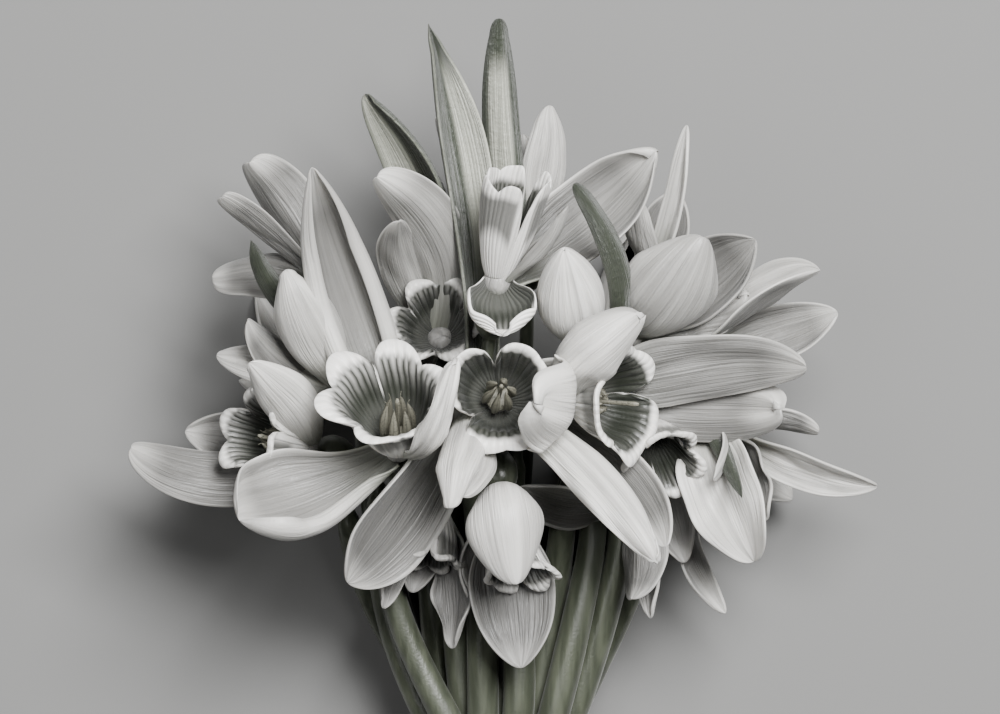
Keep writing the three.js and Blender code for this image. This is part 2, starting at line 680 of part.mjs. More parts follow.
// Stems that lie too close lean away from each other, step by step, with both ends held.
function settle(curves, flowers) {
  const rounds = 200;
  const ovaries = curves.map((points, a) => {
    const { along } = crossFrame(flowers[a].axis);
    const end = points[STEM_STEPS];
    return [0.2, 0.6, 1].map((step) => end.clone().addScaledVector(along, step * OVARY_LENGTH));
  });
  for (let round = 0; round < rounds; round++) {
    const radii = curves.map((points) => distancesBack(points).map(stemRadius));
    const moves = curves.map((points) => points.map(() => new THREE.Vector3()));
    for (let a = 0; a < curves.length; a++) {
      for (let b = a + 1; b < curves.length; b++) {
        curves[a].forEach((p, i) => {
          curves[b].forEach((q, j) => {
            const apart = p.clone().sub(q);
            const lack = radii[a][i] + radii[b][j] + GAP + 0.3 - apart.length();
            if (lack <= 0) return;
            apart.setLength(lack * 0.25);
            moves[a][i].add(apart);
            moves[b][j].sub(apart);
          });
        });
      }
      for (let b = 0; b < curves.length; b++) {
        if (a === b) continue;
        curves[a].forEach((p, i) => {
          for (const q of ovaries[b]) {
            const apart = p.clone().sub(q);
            const lack = radii[a][i] + OVARY_RADIUS + GAP + 0.3 - apart.length();
            if (lack > 0) moves[a][i].add(apart.setLength(lack * 0.5));
          }
        });
      }
    }
    curves.forEach((points, a) => {
      points.forEach((point, i) => {
        const held = Math.min(1, 4 * Math.sin((Math.PI * i) / STEM_STEPS));
        if (i === 0 || i === STEM_STEPS) return;
        const level = points[i - 1].clone().add(points[i + 1]).multiplyScalar(0.5).sub(point);
        moves[a][i].multiplyScalar(held).addScaledVector(level, 0.05 * held);
      });
      points.forEach((point, i) => {
        if (i > 0 && i < STEM_STEPS) point.add(moves[a][i]);
      });
    });
  }
}

// The stem of one flower: scape, pedicel and ovary in one green bar. lower is the cut end's own offset.
function stem(curve, flower, lower, grow = 0) {
  const { along } = crossFrame(flower.axis);
  const back = distancesBack(curve);
  const kept = curve.map((_, i) => i).filter((i) => i % STEM_KEPT === 0);
  const start = curve[0];
  const cut = new THREE.Vector3(start.x, CUT_END_Y - lower - grow, start.z);
  const points = [cut, ...kept.map((i) => curve[i])];
  const radii = [STEM_DIAMETER / 2, ...kept.map((i) => stemRadius(back[i]))];
  const end = curve[STEM_STEPS];
  for (const [step, radius] of [
    [0.6, OVARY_RADIUS],
    [1, 0.55 * OVARY_RADIUS],
  ]) {
    points.push(end.clone().addScaledVector(along, step * OVARY_LENGTH + (step === 1 ? grow : 0)));
    radii.push(radius);
  }
  return bar(points, radii.map((radius) => radius + grow), STEM_SIDES);
}

// The middle of the stem, at a share of the way up its free part.
function pointOn(curve, share) {
  const step = (share * STEM_STEPS) / STEM_KEPT;
  const below = Math.min(Math.floor(step), STEM_STEPS / STEM_KEPT - 1);
  return curve[below * STEM_KEPT].clone().lerp(curve[(below + 1) * STEM_KEPT], step - below);
}

// A green blade that clasps its stem and ends in a point.
function spathe(curve, shape, grow = 0) {
  const base = pointOn(curve, shape.from);
  const flower = { base: base.toArray(), axis: shape.facing, foldedBack: true };
  const grid = outerTepalGrid(flower, { bow: 0.03, shoulder: 0.45, claw: 0.6, point: 0.8, ...shape });
  return blade(grid, LEAF_THICKNESS, grow);
}

// ---- stamens ----
// Six anthers lean together round the style, on one small disc.
function stamens(flower, grow = 0) {
  const frame = crossFrame(flower.axis);
  const floor = vec(flower.base).addScaledVector(frame.along, RECEPTACLE_RADIUS + 0.6);
  const at = (out, up) => floor.clone().add(out).addScaledVector(frame.along, up);
  const { anthers, style, foot, top, shift = NOWHERE } = flower.stamens;
  const { radius, height } = STAMEN_DISC;
  const lean = vec(shift);
  const middle = vec(NOWHERE);
  const pieces = [bar([at(middle, -grow), at(middle, height)], [radius + grow, radius + grow], 6)];
  const thin = ANTHER_RADIUS - 0.1 + grow;
  pieces.push(bar([at(middle, height / 2), at(lean, style + grow)], [thin, thin], STYLE_SIDES));
  for (let k = 0; k < 6; k++) {
    const out = turned(frame, (Math.PI * k) / 3 + 0.3);
    const root = at(out.clone().multiplyScalar(radius * 0.6), height / 2);
    const low = at(out.clone().multiplyScalar(foot), height / 2);
    const tip = at(out.clone().multiplyScalar(Math.max(top, TIPS_APART)).add(lean), anthers + grow);
    const path = foot > radius ? [root, low, tip] : [low, tip];
    const radii = path.map((point) => (point === tip ? ANTHER_TIP_RADIUS : ANTHER_RADIUS) + grow);
    pieces.push(bar(path, radii, ANTHER_SIDES));
  }
  return joined(pieces);
}

// ---- tie ----
// The twine takes the shortest way round the bundle: at each angle it lies against the stem that reaches
// furthest.
function twineTurn(y) {
  const reach = STEM_DIAMETER / 2 + GAP + TWINE_RADIUS;
  const places = bundlePlaces();
  return Array.from({ length: TWINE_STEPS }, (_, k) => {
    const angle = (2 * Math.PI * (k + 0.5)) / TWINE_STEPS;
    const [x, z] = [Math.cos(angle), Math.sin(angle)];
    const along = (place) => place.x * x + place.z * z;
    const far = places.reduce((best, place) => (along(place) > along(best) ? place : best));
    return new THREE.Vector3(far.x + reach * x, y, far.z + reach * z);
  });
}

// The turns lie side by side as one ribbed band: its section is a row of round ribs on a flat back.
function tie() {
  const pitch = 1.7 * TWINE_RADIUS;
  const section = [];
  for (let k = 0; k < TWINE_TURNS; k++) {
    const middle = (k - (TWINE_TURNS - 1) / 2) * pitch;
    section.push([middle - pitch / 2, TWINE_RADIUS / 2], [middle, TWINE_RADIUS]);
  }
  const end = (TWINE_TURNS / 2) * pitch;
  section.push([end, TWINE_RADIUS / 2], [end, -0.9 * TWINE_RADIUS], [-end, -0.9 * TWINE_RADIUS]);
  const path = twineTurn(0);
  const rings = path.map((point, i) => {
    const before = path[(i + path.length - 1) % path.length];
    const tangent = path[(i + 1) % path.length].clone().sub(before).normalize();
    const outward = new THREE.Vector3().crossVectors(new THREE.Vector3(0, 1, 0), tangent).negate();
    return section.map(([y, out]) => {
      const corner = point.clone().addScaledVector(outward, out);
      corner.y += y;
      return corner;
    });
  });
  return ringSkin(rings);
}

// ---- assembly ----
const white = new THREE.MeshStandardMaterial({ color: 0xe9e7e1, roughness: 0.55 });
const green = new THREE.MeshStandardMaterial({ color: 0x5c6652, roughness: 0.5 });
const olive = new THREE.MeshStandardMaterial({ color: 0x7c7558, roughness: 0.6 });
const straw = new THREE.MeshStandardMaterial({ color: 0xa08a62, roughness: 0.9 });

// A block under the surface, which trims what would sink into it.
function underSurface() {
  const reach = 200;
  const square = [[1, 1], [-1, 1], [-1, -1], [1, -1]];
  const corner = (x, y, z) => new THREE.Vector3(x * reach, y * reach, z);
  const corners = [-reach, 0].flatMap((z) => square.map(([x, y]) => corner(x, y, z)));
  return barSkin(corners, square.length);
}

// What is left of a piece once its neighbours have their room: its largest body.
function clearOf(piece, neighbours) {
  let left = piece;
  for (const neighbour of neighbours) left = left.subtract(neighbour);
  const bodies = left.decompose().sort((a, b) => b.volume() - a.volume());
  return bodies[0];
}

function meshOf(name, piece, material) {
  const { vertProperties, triVerts } = piece.getMesh();
  const geometry = new THREE.BufferGeometry();
  geometry.setAttribute("position", new THREE.BufferAttribute(new Float32Array(vertProperties), 3));
  geometry.setIndex(new THREE.BufferAttribute(new Uint32Array(triVerts), 1));
  geometry.computeVertexNormals();
  const mesh = new THREE.Mesh(geometry, material);
  mesh.name = name;
  return mesh;
}

const names = Object.keys(FLOWERS);
const places = placesByFlower();
const curves = names.map((name) => freeCurve(places[name], FLOWERS[name]));
settle(curves, Object.values(FLOWERS));

// The cut ends differ by steps of the golden ratio, so that no two neighbours end alike.
const cutEnd = (k) => CUT_END_SPREAD * ((k * 0.618) % 1);
const stemOf = (k, grow = 0) => stem(curves[k], FLOWERS[names[k]], cutEnd(k), grow);

// Each piece is made in turn and cleared of what is there before it: stems, then stamens, then blooms.
const group = new THREE.Group();
const stemRooms = names.map((_, k) => stemOf(k, GAP));
const taken = [];
names.forEach((name, k) => {
  let piece = clearOf(stemOf(k), stemRooms.slice(0, k));
  const shape = GREEN_BLADES[name];
  if (shape) {
    const others = stemRooms.filter((_, other) => other !== k);
    piece = clearOf(piece.add(clearOf(spathe(curves[k], shape), [...others, ...taken])), []);
    taken.push(spathe(curves[k], shape, GAP));
  }
  group.add(meshOf(`stem_${name}`, piece, green));
});
taken.push(...stemRooms);
for (const name of names.filter((each) => FLOWERS[each].stamens)) {
  group.add(meshOf(`stamens_${name}`, clearOf(stamens(FLOWERS[name]), taken), olive));
  taken.push(stamens(FLOWERS[name], GAP));
}
taken.push(underSurface());
for (const name of names) {
  group.add(meshOf(`bloom_${name}`, clearOf(bloom(FLOWERS[name]), taken), white));
  taken.push(bloom(FLOWERS[name], GAP));
}
group.add(meshOf("tie", clearOf(tie(), [underSurface()]), straw));

export default group;
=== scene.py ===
"""A tied bunch of snowdrops that lies on its back, dressed round the fixed frame of its CAD solids.

Sizes are in millimetres and become metres where a mesh is made. +Z is up from the floor, the heads reach
towards +Y and the cut ends towards -Y. The camera looks straight down on the heads.
"""
import logging
import math
from dataclasses import dataclass, field
from enum import Enum

import bpy
import numpy as np
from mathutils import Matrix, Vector


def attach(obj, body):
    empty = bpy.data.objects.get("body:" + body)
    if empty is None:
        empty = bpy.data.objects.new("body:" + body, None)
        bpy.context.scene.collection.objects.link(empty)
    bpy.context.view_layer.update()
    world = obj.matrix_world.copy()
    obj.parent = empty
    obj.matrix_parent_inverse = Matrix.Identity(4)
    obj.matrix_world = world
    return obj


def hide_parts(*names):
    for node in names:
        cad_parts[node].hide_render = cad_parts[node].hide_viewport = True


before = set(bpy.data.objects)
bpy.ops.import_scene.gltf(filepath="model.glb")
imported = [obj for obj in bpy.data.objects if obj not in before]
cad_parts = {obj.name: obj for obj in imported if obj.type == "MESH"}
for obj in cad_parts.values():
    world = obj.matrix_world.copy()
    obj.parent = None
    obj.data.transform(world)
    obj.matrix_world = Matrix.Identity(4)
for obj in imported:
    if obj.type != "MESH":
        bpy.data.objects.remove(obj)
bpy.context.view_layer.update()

log = logging.getLogger("snowdrops")

MM = 0.001
BODY = "root"
Vec = tuple[float, float, float]
Colour = tuple[float, float, float]

# ---- driving dimensions, as in the part's source ----
GAP = 0.3
STEM_DIAMETER = 4.3
STEM_TOP_RADIUS = 1.6
PEDICEL_RADIUS = 0.95
PEDICEL_LENGTH = 11.0
OVARY_LENGTH = 6.0
OVARY_RADIUS = 2.5
RECEPTACLE_RADIUS = 1.9
CLAW_SINK = 1.0
CUP_START = 0.08
CUT_END_Y = -56.0
CUT_END_SPREAD = 7.0
FAN_OUT = 0.4
FAN_LEFT = 0.5
FAN_RIGHT = 0.2
FAN_Y = 8.0
HEADS_Z = 26.0
TWINE_RADIUS = 1.1
TWINE_TURNS = 4
TIE_FLAT = 0.25
BUNDLE_ROWS = (4, 5, 4, 5, 4)
PITCH = STEM_DIAMETER + GAP + 0.05
ROW_RISE = PITCH * math.sqrt(0.75)
LOWEST_STEM_Z = 2 * TWINE_RADIUS - TIE_FLAT + GAP + STEM_DIAMETER / 2
BUNDLE_Z = LOWEST_STEM_Z + (len(BUNDLE_ROWS) - 1) / 2 * ROW_RISE
STEM_STEPS = 24


# ---- numbers and directions ----
def unit(vector: np.ndarray) -> np.ndarray:
    """Each vector divided by its own length."""
    return vector / np.maximum(np.linalg.norm(vector, axis=-1, keepdims=True), 1e-12)


def ease(value: np.ndarray) -> np.ndarray:
    """A smooth step from 0 to 1: three squares less two cubes, held at both ends."""
    held = np.clip(value, 0, 1)
    return held * held * (3 - 2 * held)


def ramp(value: np.ndarray, zero: float, one: float) -> np.ndarray:
    """0 where value is at zero, 1 where it is at one, straight between and held outside."""
    return np.clip((value - zero) / (one - zero), 0, 1)


def round_edge(place: np.ndarray, power: float, least: float = 0.0) -> np.ndarray:
    """The share of its thickness that a blade keeps near an edge: the root of 1 less a power of the place."""
    return np.sqrt(np.maximum(1 - np.abs(place) ** power, least))


def across_blade(columns: int) -> np.ndarray:
    """Places across a blade, from -1 to 1, closer together near both margins."""
    return -np.cos(np.linspace(0, np.pi, columns + 1))[None, :]


def up_blade(rows: int, power: float, start: float = 0.0) -> np.ndarray:
    """Places along a blade, up to 1, closer together near the tip."""
    return (1 - (1 - np.linspace(start, 1, rows)) ** power)[:, None]


def spoke(angle: np.ndarray, first: np.ndarray, second: np.ndarray) -> np.ndarray:
    """The direction at each angle from the first direction towards the second."""
    return np.cos(angle)[..., None] * first + np.sin(angle)[..., None] * second


def run_of(path: np.ndarray) -> np.ndarray:
    """The distance along a path from its start, at each of its points."""
    return np.concatenate([[0], np.cumsum(np.linalg.norm(np.diff(path, axis=0), axis=1))])


def linear(colour: Colour) -> tuple[float, ...]:
    """A screen colour, 0 to 255, as the linear colour, with full cover, that a shader takes."""
    share = np.array(colour) / 255
    return (*np.where(share <= 0.04045, share / 12.92, ((share + 0.055) / 1.055) ** 2.4), 1.0)


def shaded(colour: Colour, share: float) -> Colour:
    """A screen colour made darker or lighter."""
    return tuple(share * part for part in colour)


def cross_frame(axis: Vec) -> tuple[np.ndarray, np.ndarray, np.ndarray]:
    """Three directions at right angles: along the axis, and two across it.

    Args:
        axis: the direction that a flower faces.

    Returns:
        The unit axis, the direction across it nearest to +Y (or +Z), and the first one crossed with the axis.
    """
    along = unit(np.array(axis, float))
    up = np.array((0.0, 1.0, 0.0) if abs(along[1]) < 0.85 else (0.0, 0.0, 1.0))
    first = unit(up - (up @ along) * along)
    return along, first, np.cross(first, along)


# ---- meshes ----
@dataclass
class Skin:
    """One closed skin: its points, faces, and what each point knows of its place on the surface.

    across runs from -1 to 1 between the margins, along from 0 to 1 from base to tip, inside is 1 on the face
    that looks at the flower's axis and 0 on its back, shade is the painted shade, or painted light above 1,
    by which the whole skin is drawn darker or lighter, and dark how evenly dark its inner face is.
    """

    points: np.ndarray
    quads: np.ndarray
    triangles: np.ndarray
    across: np.ndarray
    along: np.ndarray
    inside: np.ndarray
    shade: float = 1.0
    dark: float = 0.0

    def outward(self) -> "Skin":
        """Turns the faces to point outwards, where they don't: the volume then comes out above nothing.

        Returns:
            The same skin.
        """
        both = [self.triangles, self.quads[:, (0, 1, 2)], self.quads[:, (0, 2, 3)]]
        a, b, c = (self.points[np.concatenate(both)[:, k]] for k in range(3))
        if np.einsum("ij,ij->", a, np.cross(b, c)) < 0:
            self.quads, self.triangles = self.quads[:, ::-1], self.triangles[:, ::-1]
        return self


def ring_quads(rows: int, count: int) -> np.ndarray:
    """The quads between neighbouring rings of equally many points.

    Args:
        rows: how many rings there are.
        count: how many points a ring has.

    Returns:
        Each quad's four points.
    """
    i, k = np.meshgrid(np.arange(rows - 1) * count, np.arange(count), indexing="ij")
    k2 = (k + 1) % count
    return np.stack([i + k, i + k2, i + count + k2, i + count + k], -1).reshape(-1, 4)


def shell(mid: np.ndarray, half: np.ndarray, across: np.ndarray, along: np.ndarray, shade: float = 1.0,
          dark: float = 0.0) -> Skin:
    """A thin blade with round margins: a middle surface moved both ways along its normal.

    Args:
        mid: the middle surface, rows from base to tip by columns from margin to margin.
        half: half the thickness at each point; it counts as nothing at both margins.
        across: each point's place between the margins.
        along: each point's place between base and tip.
        shade: the painted shade on the blade, or painted light above 1: how much darker or lighter it is
            drawn.
        dark: how evenly dark its inner face is.

    Returns:
        The closed skin. Its inner face is the one that the normal, across times along, points to.
    """
    rows, columns = mid.shape[:2]
    normal = unit(np.cross(np.gradient(mid, axis=1), np.gradient(mid, axis=0)))
    half = half.copy()
    half[:, (0, -1)] = 0
    back = slice(columns - 2, 0, -1)
    step = normal * half[..., None]
    ring = np.concatenate([mid + step, (mid - step)[:, back]], 1)
    flat = [np.concatenate([g, g[:, back]], 1).ravel() for g in (across + 0 * half, along + 0 * half)]
    side = np.concatenate([np.ones_like(half), np.zeros_like(half)[:, back]], 1)
    side[:, (0, columns - 1)] = 0.5
    count, last = ring.shape[1], columns - 1
    j = np.arange(1, columns - 2)
    caps, ends = [], []
    for start, turn in ((0, 1), ((rows - 1) * count, -1)):
        strip = np.stack([start + j, start + j + 1, start + count - j - 1, start + count - j], -1)
        corner = np.array([[start, start + 1, start + count - 1],
                           [start + last - 1, start + last, start + last + 1]])
        caps.append(strip[:, ::-turn])
        ends.append(corner[:, ::-turn])
    quads = np.concatenate([ring_quads(rows, count), *caps])
    return Skin(ring.reshape(-1, 3), quads, np.concatenate(ends), *flat, side.ravel(), shade, dark).outward()


def carried(tangent: np.ndarray) -> np.ndarray:
    """Directions across a path that turn as little as they can: each is the last one, made square to it.

    Args:
        tangent: the path's direction at each point.

    Returns:
        The direction across it at each point.
    """
    side = np.zeros_like(tangent)
    last = np.array((1.0, 0.0, 0.0)) if abs(tangent[0][0]) < 0.9 else np.array((0.0, 0.0, 1.0))
    for i, along in enumerate(tangent):
        last = unit(last - (last @ along) * along)
        side[i] = last
    return side


def tube(path: np.ndarray, radii: np.ndarray, sides: int, section: np.ndarray | float = 1.0,
         shade: float = 1.0) -> Skin:
    """A round bar: a ring carried along a path without twisting, closed to a pole at each end.

    Args:
        path: the points that it follows.
        radii: the ring's radius at each of them.
        sides: how many points a ring has.
        section: by how much the radius is multiplied at each point of a ring.
        shade: the painted shade on the bar, how much darker it is drawn; 1 for none.

    Returns:
        The closed skin. across is the place round the ring, along the place on the path.
    """
    tangent = unit(np.gradient(path, axis=0))
    side = carried(tangent)
    other = np.cross(tangent, side)
    angle = np.broadcast_to(np.linspace(0, 2 * np.pi, sides, endpoint=False), (len(path), sides))
    reach = radii[:, None] * section * np.ones((len(path), sides))
    ring = path[:, None] + reach[..., None] * spoke(angle, side[:, None], other[:, None])
    total = len(path) * sides
    k = np.arange(sides)
    after = (k + 1) % sides
    poles = [np.stack([np.full(sides, total), after, k], -1),
             np.stack([np.full(sides, total + 1), total - sides + k, total - sides + after], -1)]
    points = np.concatenate([ring.reshape(-1, 3), path[:1], path[-1:]])
    round_it = np.tile(np.linspace(-1, 1, sides, endpoint=False), len(path))
    up = np.repeat(np.linspace(0, 1, len(path)), sides)
    return Skin(points, ring_quads(len(path), sides), np.concatenate(poles), np.append(round_it, (0, 0)),
                np.append(up, (0, 1)), np.zeros(total + 2), shade).outward()


def build(name: str, skins: list[Skin], material: bpy.types.Material, slot: str, *nodes: str) -> None:
    """One object from closed skins, at the origin, riding on the body.

    Args:
        name: the piece's name.
        skins: its closed skins, in millimetres.
        material: its finish.
        slot: the name of a material slot; not used.
        nodes: the CAD nodes that it stands for.
    """
    starts = np.cumsum([0] + [len(s.points) for s in skins])
    quads = np.concatenate([s.quads + n for s, n in zip(skins, starts)])
    triangles = np.concatenate([s.triangles + n for s, n in zip(skins, starts)])
    mesh = bpy.data.meshes.new(name)
    points = np.concatenate([s.points for s in skins]) * MM
    points[:, 2] = np.maximum(points[:, 2], 0)
    mesh.vertices.add(len(points))
    mesh.vertices.foreach_set("co", points.astype(np.float32).ravel())
    mesh.loops.add(4 * len(quads) + 3 * len(triangles))
    corners = np.concatenate([quads.ravel(), triangles.ravel()])
    mesh.loops.foreach_set("vertex_index", corners.astype(np.int32))
    mesh.polygons.add(len(quads) + len(triangles))
    begin = np.concatenate([4 * np.arange(len(quads)), 4 * len(quads) + 3 * np.arange(len(triangles))])
    mesh.polygons.foreach_set("loop_start", begin.astype(np.int32))
    mesh.update(calc_edges=True)
    mesh.validate()
    mesh.polygons.foreach_set("use_smooth", np.ones(len(mesh.polygons), bool))
    for label in ("across", "along", "inside", "shade", "dark"):
        layer = mesh.attributes.new(label, "FLOAT", "POINT")
        known = [np.broadcast_to(getattr(s, label), len(s.points)) for s in skins]
        layer.data.foreach_set("value", np.concatenate(known).astype(np.float32))
    mesh.materials.append(material)
    piece = bpy.data.objects.new(name, mesh)
    bpy.context.scene.collection.objects.link(piece)
    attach(piece, BODY)
    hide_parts(*nodes)
    log.info("%s: %d faces", name, len(mesh.polygons))


# ---- finishes ----
MIX_SHARE, MIX_FIRST, MIX_SECOND, MIX_RESULT = 0, 6, 7, 2  # the numbers of a mix node's sockets for colours
SOFT_SPREAD = (1.0, 0.9, 0.75)
SHEEN_ROUGHNESS = 0.4
PATTERN_SHIFT = 9.0  # moves the veins along by the shade, so that no two shades look alike


class Wire:
    """A number on its way through a material: each sign or call on it adds one node."""

    def __init__(self, graph: "Graph", socket: bpy.types.NodeSocket) -> None:
        """Keeps the graph that the number is in, and the socket that it comes from."""
        self.graph, self.socket = graph, socket

    def __add__(self, other: "Value") -> "Wire":
        """The sum."""
        return self.graph.maths("ADD", self, other)

    def __sub__(self, other: "Value") -> "Wire":
        """The difference."""
        return self.graph.maths("SUBTRACT", self, other)

    def __rsub__(self, other: float) -> "Wire":
        """A plain number less this one."""
        return self.graph.maths("SUBTRACT", other, self)

    def __mul__(self, other: "Value") -> "Wire":
        """The product."""
        return self.graph.maths("MULTIPLY", self, other)

    def __abs__(self) -> "Wire":
        """The number without its sign."""
        return self.graph.maths("ABSOLUTE", self)

    def span(self, low: float, high: float, start: float = 0.0, end: float = 1.0) -> "Wire":
        """Carried smoothly from low..high to start..end, and held outside."""
        inputs = dict(enumerate((self, low, high, start, end)))
        return self.graph.step("MapRange", inputs, interpolation_type="SMOOTHSTEP")

    def ridge(self, sharp: float) -> "Wire":
        """Thin lines where a noise crosses its middle, thinner the sharper."""
        return self.graph.maths("MULTIPLY_ADD", abs(self - 0.5), -sharp, 1.0, clamp=True)


Value = float | Colour | Wire


class Graph:
    """A material's node tree, with short calls for the nodes that these finishes use."""

    def __init__(self, name: str) -> None:
        """Starts an empty tree that ends in one Principled shader.

        Args:
            name: the material's name.
        """
        self.material = bpy.data.materials.new(name)
        self.material.use_nodes = True
        self.tree = self.material.node_tree
        self.tree.nodes.clear()
        self.shader = self.tree.nodes.new("ShaderNodeBsdfPrincipled")
        out = self.tree.nodes.new("ShaderNodeOutputMaterial")
        self.tree.links.new(self.shader.outputs[0], out.inputs["Surface"])

    def put(self, socket: bpy.types.NodeSocket, value: Value) -> None:
        """Links a number to an input, or sets the input.

        Args:
            socket: the input.
            value: what goes in; a tuple is a screen colour.
        """
        if isinstance(value, Wire):
            self.tree.links.new(value.socket, socket)
        else:
            socket.default_value = linear(value) if isinstance(value, tuple) else value

    def step(self, kind: str, inputs: dict[int | str, Value], output: int | str = 0,
             **settings: str | bool) -> Wire:
        """Adds one node.

        Args:
            kind: which node.
            inputs: what goes into its sockets, by their numbers or names.
            output: which of its outputs counts.
            settings: the node's own settings.

        Returns:
            What comes out.
        """
        node = self.tree.nodes.new("ShaderNode" + kind)
        for name, value in settings.items():
            setattr(node, name, value)
        for place, value in inputs.items():
            self.put(node.inputs[place], value)
        return Wire(self, node.outputs[output])

    def attributes(self, *names: str) -> list[Wire]:
        """The values of point attributes."""
        return [self.step("Attribute", {}, "Fac", attribute_name=name) for name in names]

    def maths(self, kind: str, *values: Value, clamp: bool = False) -> Wire:
        """One step of arithmetic on up to three values."""
        return self.step("Math", dict(enumerate(values)), operation=kind, use_clamp=clamp)

    def mix(self, share: Value, first: Value, second: Value, kind: str = "MIX") -> Wire:
        """Two colours mixed by a share."""
        inputs = {MIX_SHARE: share, MIX_FIRST: first, MIX_SECOND: second}
        return self.step("Mix", inputs, MIX_RESULT, data_type="RGBA", blend_type=kind)

    def dimmed(self, colour: Wire, share: Wire) -> Wire:
        """A colour made darker by a share."""
        grey = self.step("CombineColor", dict.fromkeys(range(3), share))
        return self.mix(1.0, colour, grey, "MULTIPLY")

    def place(self, *values: Value) -> Wire:
        """A point from three numbers."""
        return self.step("CombineXYZ", dict(enumerate(values)))

    def noise(self, scale: float, detail: float, stretch: Vec = (1.0, 1.0, 1.0),
              at: Wire | None = None) -> Wire:
        """Cloudy noise, about 0.5, at a point or on object coordinates, with a scale in features a metre."""
        where = {"Vector": at or self.step("TexCoord", {}, "Object"), "Scale": Vector(stretch)}
        inputs = {"Vector": self.step("Mapping", where), "Scale": scale, "Detail": detail}
        return self.step("TexNoise", inputs, "Fac")

    def lines(self, place: Wire, count: float, wobble: Value, sharp: float) -> Wire:
        """Fine lines at equal steps of place: 1 on a line, falling to 0 between, thinner the sharper."""
        wave = self.maths("SINE", place * (math.pi * count) + wobble)
        return self.maths("POWER", 1 - abs(wave), sharp)

    def bump(self, height: Wire, distance: float, strength: float) -> None:
        """Raises the surface by height times distance, in metres."""
        raised = self.step("Bump", {"Strength": strength, "Distance": distance, "Height": height})
        self.put(self.shader.inputs["Normal"], raised)

    def finish(self, colour: Value, roughness: Value, soft: float = 0.0, radius: float = 0.0,
               sheen: float = 0.0, specular: float = 0.5) -> bpy.types.Material:
        """Sets the shader's own inputs.

        Args:
            colour: the base colour.
            roughness: how matt it is.
            soft: the share of light that goes in and comes out again.
            radius: how far it goes, in metres.
            sheen: how much bloom the surface has.
            specular: how strong the gloss is.

        Returns:
            The finished material.
        """
        self.put(self.shader.inputs["Base Color"], colour)
        self.put(self.shader.inputs["Roughness"], roughness)
        plain = {"Specular IOR Level": specular, "Subsurface Weight": soft, "Subsurface Radius": SOFT_SPREAD,
                 "Subsurface Scale": radius, "Sheen Weight": sheen, "Sheen Roughness": SHEEN_ROUGHNESS}
        for label, value in plain.items():
            self.shader.inputs[label].default_value = value
        return self.material


@dataclass(frozen=True)
class TepalFinish:
    """Silky white of an outer tepal: uneven veins from claw to tip, a lighter margin that is a painted
    highlight, and a greyer inner face that is painted shade.

    main_veins and fine_veins are how dense the veins are, stretch how short they are, margin where the
    lighter rim of painted highlight begins, cells how many there are in a metre, and relief how high the
    surface is raised, in metres.
    """

    white: Colour = (222, 220, 215)
    vein: Colour = (112, 112, 103)
    # grey-green at the claw: partly the claw's own colour, partly painted shade towards the flower's middle
    base: Colour = (150, 155, 138)
    roughness: float = 0.42
    main_veins: float = 5.0
    fine_veins: float = 14.0
    stretch: float = 0.13
    margin: float = 0.86
    cells: float = 2600.0
    relief: float = 0.0002

    def material(self) -> bpy.types.Material:
        """Builds the finish."""
        g = Graph("tepal_white")
        u, t, inside, shade = g.attributes("across", "along", "inside", "shade")
        place = g.place(u, t * self.stretch, shade * PATTERN_SHIFT)
        main, fine = g.noise(self.main_veins, 2, at=place), g.noise(self.fine_veins, 3, at=place)
        # painted highlight: the margin, from margin outwards, is drawn lighter
        rim = abs(u).span(self.margin, 1.0)
        body = (1 - rim) * t.span(0.985, 0.8)
        veins = (fine.ridge(8) * 0.4 + main.ridge(15) * 0.55) * body
        tone = g.noise(1.6, 2, at=place).span(0.3, 0.7, 0.65, 1.0)
        # painted shade: the inner face is drawn darker away from the margin and the tip, by uneven amounts
        deep = inside.span(0.2, 0.8) * body * tone
        streaks = g.noise(3.2, 4, at=place).span(0.35, 0.65, 0.66, 1.0)
        mottle = g.noise(260, 4).span(0.3, 0.7, 0.94, 1.0)
        # the painted shade of the inner face and the tepal's own painted shade value dim it, with random
        # streaks and mottle
        level = streaks * (1 - deep * 0.66) * mottle * shade
        # darker and greener towards the claw: partly its own colour, partly painted shade towards the
        # flower's middle
        colour = g.mix(t.span(0.5, 0.0, 0.0, 0.85), self.white, self.base)
        colour = g.mix(veins * (deep * 0.28 + 0.17), colour, self.vein)
        # the margin keeps its painted highlight where the rest of the tepal is dimmed
        colour = g.dimmed(colour, g.maths("MAXIMUM", level, rim * shade * 0.78))
        cells = g.noise(self.cells, 1, (1.0, 0.6, 1.0))
        g.bump(cells * 0.2 - veins * 0.7 + streaks * 2.0, self.relief, 0.8)
        roughness = cells.span(0.2, 0.8, self.roughness - 0.06, self.roughness + 0.08)
        return g.finish(colour, roughness, soft=0.15, radius=0.001, sheen=0.12, specular=0.45)


